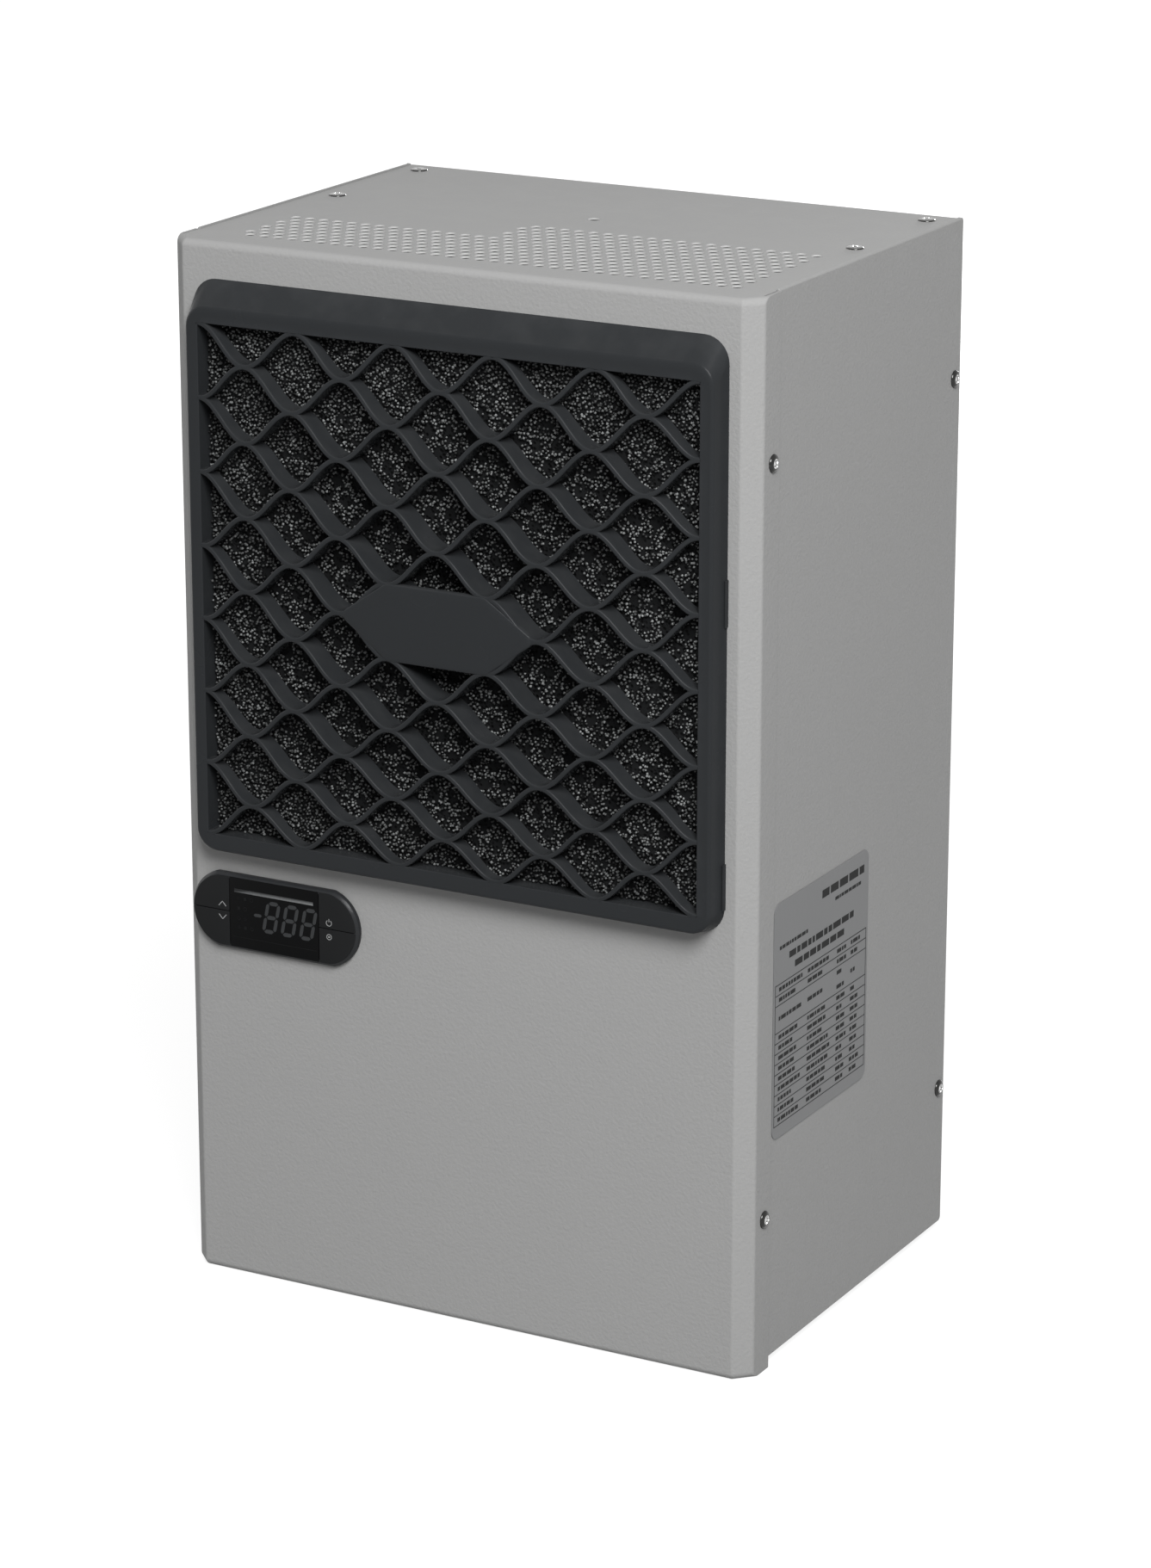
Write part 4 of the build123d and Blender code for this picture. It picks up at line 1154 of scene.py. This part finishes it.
def badge_loop(inset, corner, steps=6):
    """The plate's outline with rounded corners, drawn in by inset."""
    half = CELL_HEIGHT / 2 + RIB_WIDTH * 0.35
    tip = 2 * CELL_WIDTH
    corners = [Vector(corner) for corner in ((tip, 0), (CELL_WIDTH, half), (-CELL_WIDTH, half), (-tip, 0),
                                             (-CELL_WIDTH, -half), (CELL_WIDTH, -half))]
    loop = []
    count = len(corners)
    for index, here in enumerate(corners):
        before = (corners[index - 1] - here).normalized()
        after = (corners[(index + 1) % count] - here).normalized()
        half_angle = before.angle(after) / 2
        middle = (before + after).normalized()
        radius = corner * (0.7 if index in (0, 3) else 1.0)
        centre = here + middle * ((radius + inset) / math.sin(half_angle))
        start = -before.orthogonal()
        if start.dot(middle) > 0:
            start = -start
        end = after.orthogonal()
        if end.dot(middle) > 0:
            end = -end
        for step in range(steps + 1):
            direction = start.lerp(end, step / steps).normalized()
            loop.append(centre + direction * radius)
    return loop


def make_badge():
    """Plate with a softly rounded edge that follows the dome."""
    # Insets from the outline, and drops from the plate's front, in millimetres
    profile = [(0.0, 2.6), (0.0, 0.75), (0.16, 0.36), (0.45, 0.1), (0.95, 0.0), (3.0, 0.0), (6.0, 0.0)]
    bm = bmesh.new()
    loops = []
    for inset, drop in profile:
        loop = []
        for point in badge_loop(inset * MM, BADGE_CORNER):
            x, z = point.x, OPENING_CENTRE + point.y
            loop.append((x, FRONT - dome_front(x, z) + drop * MM, lowered(x, z)))
        loops.append(loop)
    capped_loops(bm, loops)
    bmesh.ops.triangulate(bm, faces=[face for face in bm.faces if len(face.verts) > 4])
    return closed_piece(bm, "badge_blank", grille_plastic, 40)


ride(make_badge(), "grille_plastic", "badge_plate")


# Screws

def screw_ring(size, level, star=0.0):
    """A ring of points, drawn out to four tips by the star."""
    points = []
    for k in range(SCREW_SIDES):
        angle = 2 * math.pi * k / SCREW_SIDES
        reach = size * (1 + star * math.cos(4 * angle))
        points.append((reach * math.cos(angle), reach * math.sin(angle), level))
    return points


def make_screw_shape(name, height, dome_reflection_tone):
    """Low pan head with a cross recess: closed surface of rings, each with its painted reflection tone."""
    loops = [screw_ring(SCREW_SHANK, -1.0 * MM), screw_ring(SCREW_SHANK, 0.0),
             screw_ring(SCREW_RADIUS - 0.1 * MM, 0.0), screw_ring(SCREW_RADIUS, SCREW_RIM)]
    tones = [0.0] * len(loops)
    for step in range(1, 8):
        turn = math.pi / 2 * step / 7
        level = SCREW_RIM + (height - SCREW_RIM) * math.sin(turn)
        loops.append(screw_ring(SCREW_RADIUS - 1.8 * MM * (1 - math.cos(turn)), level))
        tones.append(dome_reflection_tone if step > 2 else 0.0)
    # Rings of the recess: radius and depth in millimetres, star and painted reflection tone; the darker tone
    # on the recess wall is painted shade
    recess = ((1.95, 0.0, 0.03, 1.0), (1.7, 0.05, 0.22, 1.0), (1.45, 0.45, 0.3, 0.15), (1.1, 0.6, 0.3, 0.9),
              (0.3, 0.7, 0.0, 1.0))
    for size, drop, star, tone in recess:
        loops.append(screw_ring(size * MM, height - drop * MM, star))
        tones.append(tone)
    bm = bmesh.new()
    capped_loops(bm, loops)
    bmesh.ops.recalc_face_normals(bm, faces=bm.faces)
    mesh = mesh_from(bm, name)
    mesh.attributes.new("head_reflection_tone", "FLOAT", "POINT").data.foreach_set(
        "value", [tone for tone in tones for _ in range(SCREW_SIDES)])
    return place_object(name, mesh)


def make_screws(node, name, shape, points, tilt):
    """A set of screws that face up, or to a side once tilted."""
    values = {"Shape": shape, "Turn": (0, tilt, 0), "Twist Spread": math.pi}
    ride(run_tree(name, REPEAT_TREE, points, values, screw_steel, 35), "screw_steel", node)


# Painted reflections: the side screws' domes are painted dark, the top screws' domes paler, for what each
# one mirrors
side_screw = make_screw_shape("side_screw", 1.4 * MM, 0.0)
top_screw = make_screw_shape("top_screw", 0.9 * MM, 0.35)
places = [(side * TOP_SCREW_X, FRONT + depth, COVER_TOP) for side in (-1, 1) for depth in TOP_SCREW_DEPTHS]
make_screws("top_screws", "screws_on_top", top_screw, places, 0)
screw_rows = (("flange", HALF_WIDTH, FLANGE_SCREW_DEPTH), ("rear", SIDE_OUTER, REAR_SCREW_DEPTH))
for row, reach, depth in screw_rows:
    for side, sign in (("right", 1), ("left", -1)):
        places = [(sign * reach, FRONT + depth, level) for level in SCREW_LEVELS]
        tilt = sign * math.pi / 2
        make_screws(f"{row}_screws_{side}", f"screws_{row}_{side}", side_screw, places, tilt)
drop_helpers(side_screw, top_screw)


# Controller figures: strokes just proud of the window

def stroke(bm, points, width, front):
    """A flat ribbon of constant width along an open line of (x, z) points, 0.06 mm proud."""
    spots = [Vector(p) for p in points]
    last = len(spots) - 1
    sides = []
    for index, spot in enumerate(spots):
        along = (spots[min(index + 1, last)] - spots[max(index - 1, 0)]).normalized()
        across = Vector((-along.y, along.x)) * width / 2
        sides.append((spot + across, spot - across))
    near, far = ([[bm.verts.new((p.x, FRONT - front + offset, p.y)) for p in pair] for pair in sides]
                 for offset in (-0.06 * MM, 0.02 * MM))
    for index in range(last):
        a, b = near[index], near[index + 1]
        c, d = far[index], far[index + 1]
        bm.faces.new((a[0], a[1], b[1], b[0]))
        bm.faces.new((c[0], d[0], d[1], c[1]))
        bm.faces.new((a[0], b[0], d[0], c[0]))
        bm.faces.new((a[1], c[1], d[1], b[1]))
    bm.faces.new((near[0][0], far[0][0], far[0][1], near[0][1]))
    bm.faces.new((near[-1][0], near[-1][1], far[-1][1], far[-1][0]))


def bar(bm, centre, length, width, upright=False):
    """A leaning segment of a figure with pointed ends."""
    half = length / 2
    nose = width / 2
    shoulder = half - nose * 0.9
    side = nose * 0.92
    outline = [(-half, 0), (-shoulder, side), (0, nose), (shoulder, side), (half, 0), (shoulder, -side),
               (0, -nose), (-shoulder, -side)]
    loops = []
    for offset in (-0.05 * MM, 0.02 * MM):
        loop = []
        for along, across in outline:
            x, z = (across, along) if upright else (along, across)
            lean = (centre[1] + z - PANEL_Z) * FIGURE_LEAN
            loop.append((centre[0] + x + lean, FRONT - WINDOW_FRONT + offset, centre[1] + z))
        loops.append(loop)
    rings = bridge_loops(bm, loops)
    bm.faces.new(rings[0])
    bm.faces.new(list(reversed(rings[1])))


def make_figures():
    """Three unlit eights and a minus sign."""
    bm = bmesh.new()
    width = 5.2 * MM
    half = 6.6 * MM
    line = 1.7 * MM
    level = PANEL_Z + 0.3 * MM
    for x in FIGURE_PLACES:
        for part in (-1, 0, 1):
            bar(bm, (x, level + part * half), width * 0.92, line * 1.1)
        for side in (-1, 1):
            for part in (-0.5, 0.5):
                bar(bm, (x + side * width / 2 * 1.08, level + part * half), half * 0.93, line, upright=True)
    bar(bm, (MINUS_PLACE, level), 4.2 * MM, 1.5 * MM)
    return closed_piece(bm, "display_figures", digit_film)


def arc_points(centre, radius, start, end, steps=16):
    """Points on an arc between two angles in degrees."""
    angles = [math.radians(start + (end - start) * k / steps) for k in range(steps + 1)]
    return [(centre[0] + radius * math.cos(angle), centre[1] + radius * math.sin(angle)) for angle in angles]


def make_icons():
    """Unlit signs at the window's left, and the thin line across its foot."""
    bm = bmesh.new()
    size = 0.95 * MM
    for column, x in enumerate(ICON_COLUMNS):
        for row, z in enumerate(ICON_ROWS):
            if column == 2 and row in (1, 2):
                continue
            if (row + column) % 3 == 0:
                for angle in (0, 60, 120):
                    across, up = size * math.cos(math.radians(angle)), size * math.sin(math.radians(angle))
                    stroke(bm, [(x - across, z - up), (x + across, z + up)], SIGN_LINE, WINDOW_FRONT)
            elif (row + column) % 3 == 1:
                stroke(bm, [(x - size * 0.7, z), (x + size * 0.7, z)], 1.5 * MM, WINDOW_FRONT)
            else:
                stroke(bm, arc_points((x, z), size * 0.8, 0, 360, 12), 0.3 * MM, WINDOW_FRONT)
    stroke(bm, [(-112.6 * MM, FOOT_LINE_Z), (-69.6 * MM, FOOT_LINE_Z)], 0.25 * MM, WINDOW_FRONT)
    return closed_piece(bm, "display_icons", faint_film)


def make_marks():
    """Up and down arrows, a power sign and a set sign on the keys."""
    bm = bmesh.new()
    x = ARROWS_X
    for level, rise in ((UP_ARROW_Z, 1.0), (DOWN_ARROW_Z, -1.0)):
        tip = (x, level + rise * 1.1 * MM)
        foot = level - rise * 1.0 * MM
        stroke(bm, [(x - 1.9 * MM, foot), tip], ARROW_LINE, KEY_FRONT)
        stroke(bm, [tip, (x + 1.9 * MM, foot)], ARROW_LINE, KEY_FRONT)
    x, z = POWER_SIGN
    stroke(bm, arc_points(POWER_SIGN, 1.35 * MM, 125, 415), SIGN_LINE, KEY_FRONT)
    stroke(bm, [(x, z + 0.5 * MM), (x, z + 1.9 * MM)], SIGN_LINE, KEY_FRONT)
    x, z = SET_SIGN
    stroke(bm, arc_points(SET_SIGN, 1.2 * MM, 0, 360, 24), SIGN_LINE, KEY_FRONT)
    stroke(bm, [(x - 0.45 * MM, z), (x + 0.45 * MM, z)], 0.6 * MM, KEY_FRONT)
    return closed_piece(bm, "key_marks", mark_ink)


ride(make_figures(), "display_film")
ride(make_icons(), "display_film")
ride(make_marks(), "key_film")
ride(bevelled_copy("controller_housing", "controller_shell", controller_plastic, 0.25 * MM),
     "controller_plastic", "controller_housing")

# The keys and the window reach the rim's slope
ride(bevelled_copy("display_window", "display_pane", display_film, 0.15 * MM, grow=PANEL_GROWTH),
     "display_film", "display_window")
for key in ("up", "down", "set", "standby"):
    ride(bevelled_copy(f"key_{key}", f"key_cap_{key}", key_film, 0.15 * MM, grow=PANEL_GROWTH),
         "key_film", f"key_{key}")


# Rating plate print: blank ruled form with short bars in place of words

def block(bm, y, z, length, height, front):
    """A thin raised rectangle on the right side, 0.04 mm proud, from its lower front corner."""
    corners = [(y, z), (y + length, z), (y + length, z + height), (y, z + height)]
    near = [bm.verts.new((front + 0.04 * MM, a, b)) for a, b in corners]
    far = [bm.verts.new((front - 0.02 * MM, a, b)) for a, b in corners]
    bm.faces.new(near)
    bm.faces.new(list(reversed(far)))
    for k in range(4):
        bm.faces.new((near[k], far[k], far[(k + 1) % 4], near[(k + 1) % 4]))


def make_plate_print():
    """Heading lines above a form with twelve rows, of which the third is tall."""
    low, high = (Vector(corner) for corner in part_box("rating_plate"))
    front = high.x
    width, height = high.y - low.y, high.z - low.z
    draw = random.Random(5)
    bm = bmesh.new()
    line = 0.38 * MM
    margin = 1.6 * MM
    left, right = low.y + margin, high.y - margin
    foot = low.z + height * 0.055

    def words(start, end, level, size):
        spot = start
        while spot < end - size:
            length = min(size * draw.uniform(0.8, 2.6), end - spot)
            block(bm, spot, level, length, size, front)
            spot += length + size * 0.36

    # Heading lines: level, start and end as shares of the plate, and their height in millimetres
    heading = ((0.905, 0.5, 0.95, 3.6), (0.862, 0.64, 0.92, 1.5), (0.80, 0.06, 0.36, 1.6),
               (0.742, 0.16, 0.86, 2.9), (0.69, 0.22, 0.74, 2.9))
    for share, start, end, size in heading:
        words(low.y + width * start, low.y + width * end, low.z + height * share, size * MM)
    row_heights = [1.0] * 2 + [2.6] + [1.0] * 9
    top = low.z + height * 0.655
    unit = (top - foot) / sum(row_heights)
    level = top
    block(bm, left, top, right - left, line, front)
    for row in row_heights:
        level -= row * unit
        block(bm, left, level, right - left, line, front)
        size = 1.8 * MM
        middle = level + (row * unit - size) / 2 + line / 2
        for start, shortest, longest in ((0.04, 0.18, 0.3), (0.34, 0.48, 0.6), (0.8, 0.86, 0.92)):
            words(left + width * start, left + width * draw.uniform(shortest, longest), middle, size)
        # The tall row holds two short lines in its third column
        for shift in (-0.7, 0.7) if row > 1.5 else (0,):
            words(left + width * 0.65, left + width * draw.uniform(0.71, 0.76), middle + shift * unit, size)
    for side in (left, right - line):
        block(bm, side, foot, line, top - foot + line, front)
    return closed_piece(bm, "plate_print", plate_ink)


ride(make_plate_print(), "plate_foil")


# Stage, camera and light

def seen_share(tree, *rays):
    """1 for the kinds of ray that see the pale background, 0 for those that light the object."""
    path = add_node(tree, "ShaderNodeLightPath").outputs
    seen = path[rays[0]]
    for ray in rays[1:]:
        seen = math_node(tree, "MAXIMUM", seen, path[ray])
    return seen


def make_floor():
    """A plain floor that camera and gloss see nearly white, with the object's shadow on it."""
    bm = bmesh.new()
    bmesh.ops.create_grid(bm, x_segments=1, y_segments=1, size=FLOOR_HALF)
    floor = place_object("floor", mesh_from(bm, "floor"))
    material, tree, shader = new_material("floor_white", {
        "Roughness": 0.9, "Specular IOR Level": 0.1, "Base Color": (0.4, 0.4, 0.4, 1)})
    away = add_node(tree, "ShaderNodeVectorMath", {0: object_place(tree)}, operation="LENGTH")
    glow = value_range(tree, away.outputs["Value"], 0.4, 1.6, 0.86, 1.0)
    lit = first_output(tree, "ShaderNodeEmission", {"Color": (1, 1, 1, 1), "Strength": glow})
    dark = first_output(tree, "ShaderNodeBsdfDiffuse", {"Color": (0.2, 0.2, 0.2, 1)})
    pale = first_output(tree, "ShaderNodeAddShader", {0: dark, 1: lit})
    seen = seen_share(tree, "Is Camera Ray", "Is Glossy Ray")
    choice = first_output(tree, "ShaderNodeMixShader", {0: seen, 1: shader.outputs[0], 2: pale})
    link(tree, choice, tree.nodes["Material Output"].inputs["Surface"])
    floor.data.materials.append(material)


make_floor()

world = bpy.data.worlds.new("studio")
bpy.context.scene.world = world
world.use_nodes = True
background = world.node_tree.nodes["Background"]
background.inputs["Color"].default_value = (1, 1, 1, 1)
seen = seen_share(world.node_tree, "Is Camera Ray", "Is Glossy Ray", "Is Transmission Ray")
link(world.node_tree, value_range(world.node_tree, seen, 0, 1, 0.2, 1.0), background.inputs["Strength"])


def direction_to(azimuth, elevation):
    """Unit vector from the case, with the azimuth counted from the front towards the right, in degrees."""
    turn, rise = math.radians(azimuth), math.radians(elevation)
    return Vector((math.sin(turn) * math.cos(rise), -math.cos(turn) * math.cos(rise), math.sin(rise)))


def area_light(name, azimuth, elevation, distance, size, power):
    """A soft square lamp aimed at the case's middle."""
    data = bpy.data.lights.new(name, "AREA")
    data.shape = "SQUARE"
    data.size = size
    data.energy = power
    lamp = bpy.data.objects.new(name, data)
    direction = direction_to(azimuth, elevation)
    lamp.location = Vector((0, 0, LAMP_AIM)) + direction * distance
    lamp.rotation_mode = "QUATERNION"
    lamp.rotation_quaternion = direction.to_track_quat("Z", "Y")
    bpy.context.scene.collection.objects.link(lamp)


area_light("key", azimuth=37.5, elevation=40, distance=3.0, size=1.3, power=127)
area_light("left_fill", azimuth=-82, elevation=16, distance=2.6, size=1.2, power=9)
area_light("back_fill", azimuth=190, elevation=6, distance=2.6, size=0.5, power=44)

camera_data = bpy.data.cameras.new("camera")
camera = bpy.data.objects.new("camera", camera_data)
bpy.context.scene.collection.objects.link(camera)
camera_data.sensor_width = 36
camera_data.sensor_fit = "AUTO"
camera_data.lens = FOCAL_PIXELS * camera_data.sensor_width / PHOTO_LONG_SIDE
camera.location = CAMERA_PLACE
camera.rotation_mode = "QUATERNION"
camera.rotation_quaternion = (-direction_to(CAMERA_AZIMUTH, CAMERA_ELEVATION)).to_track_quat("-Z", "Y")
camera_data.clip_start = 0.05
camera_data.clip_end = 50
bpy.context.scene.camera = camera
bpy.context.scene.view_settings.view_transform = "Standard"
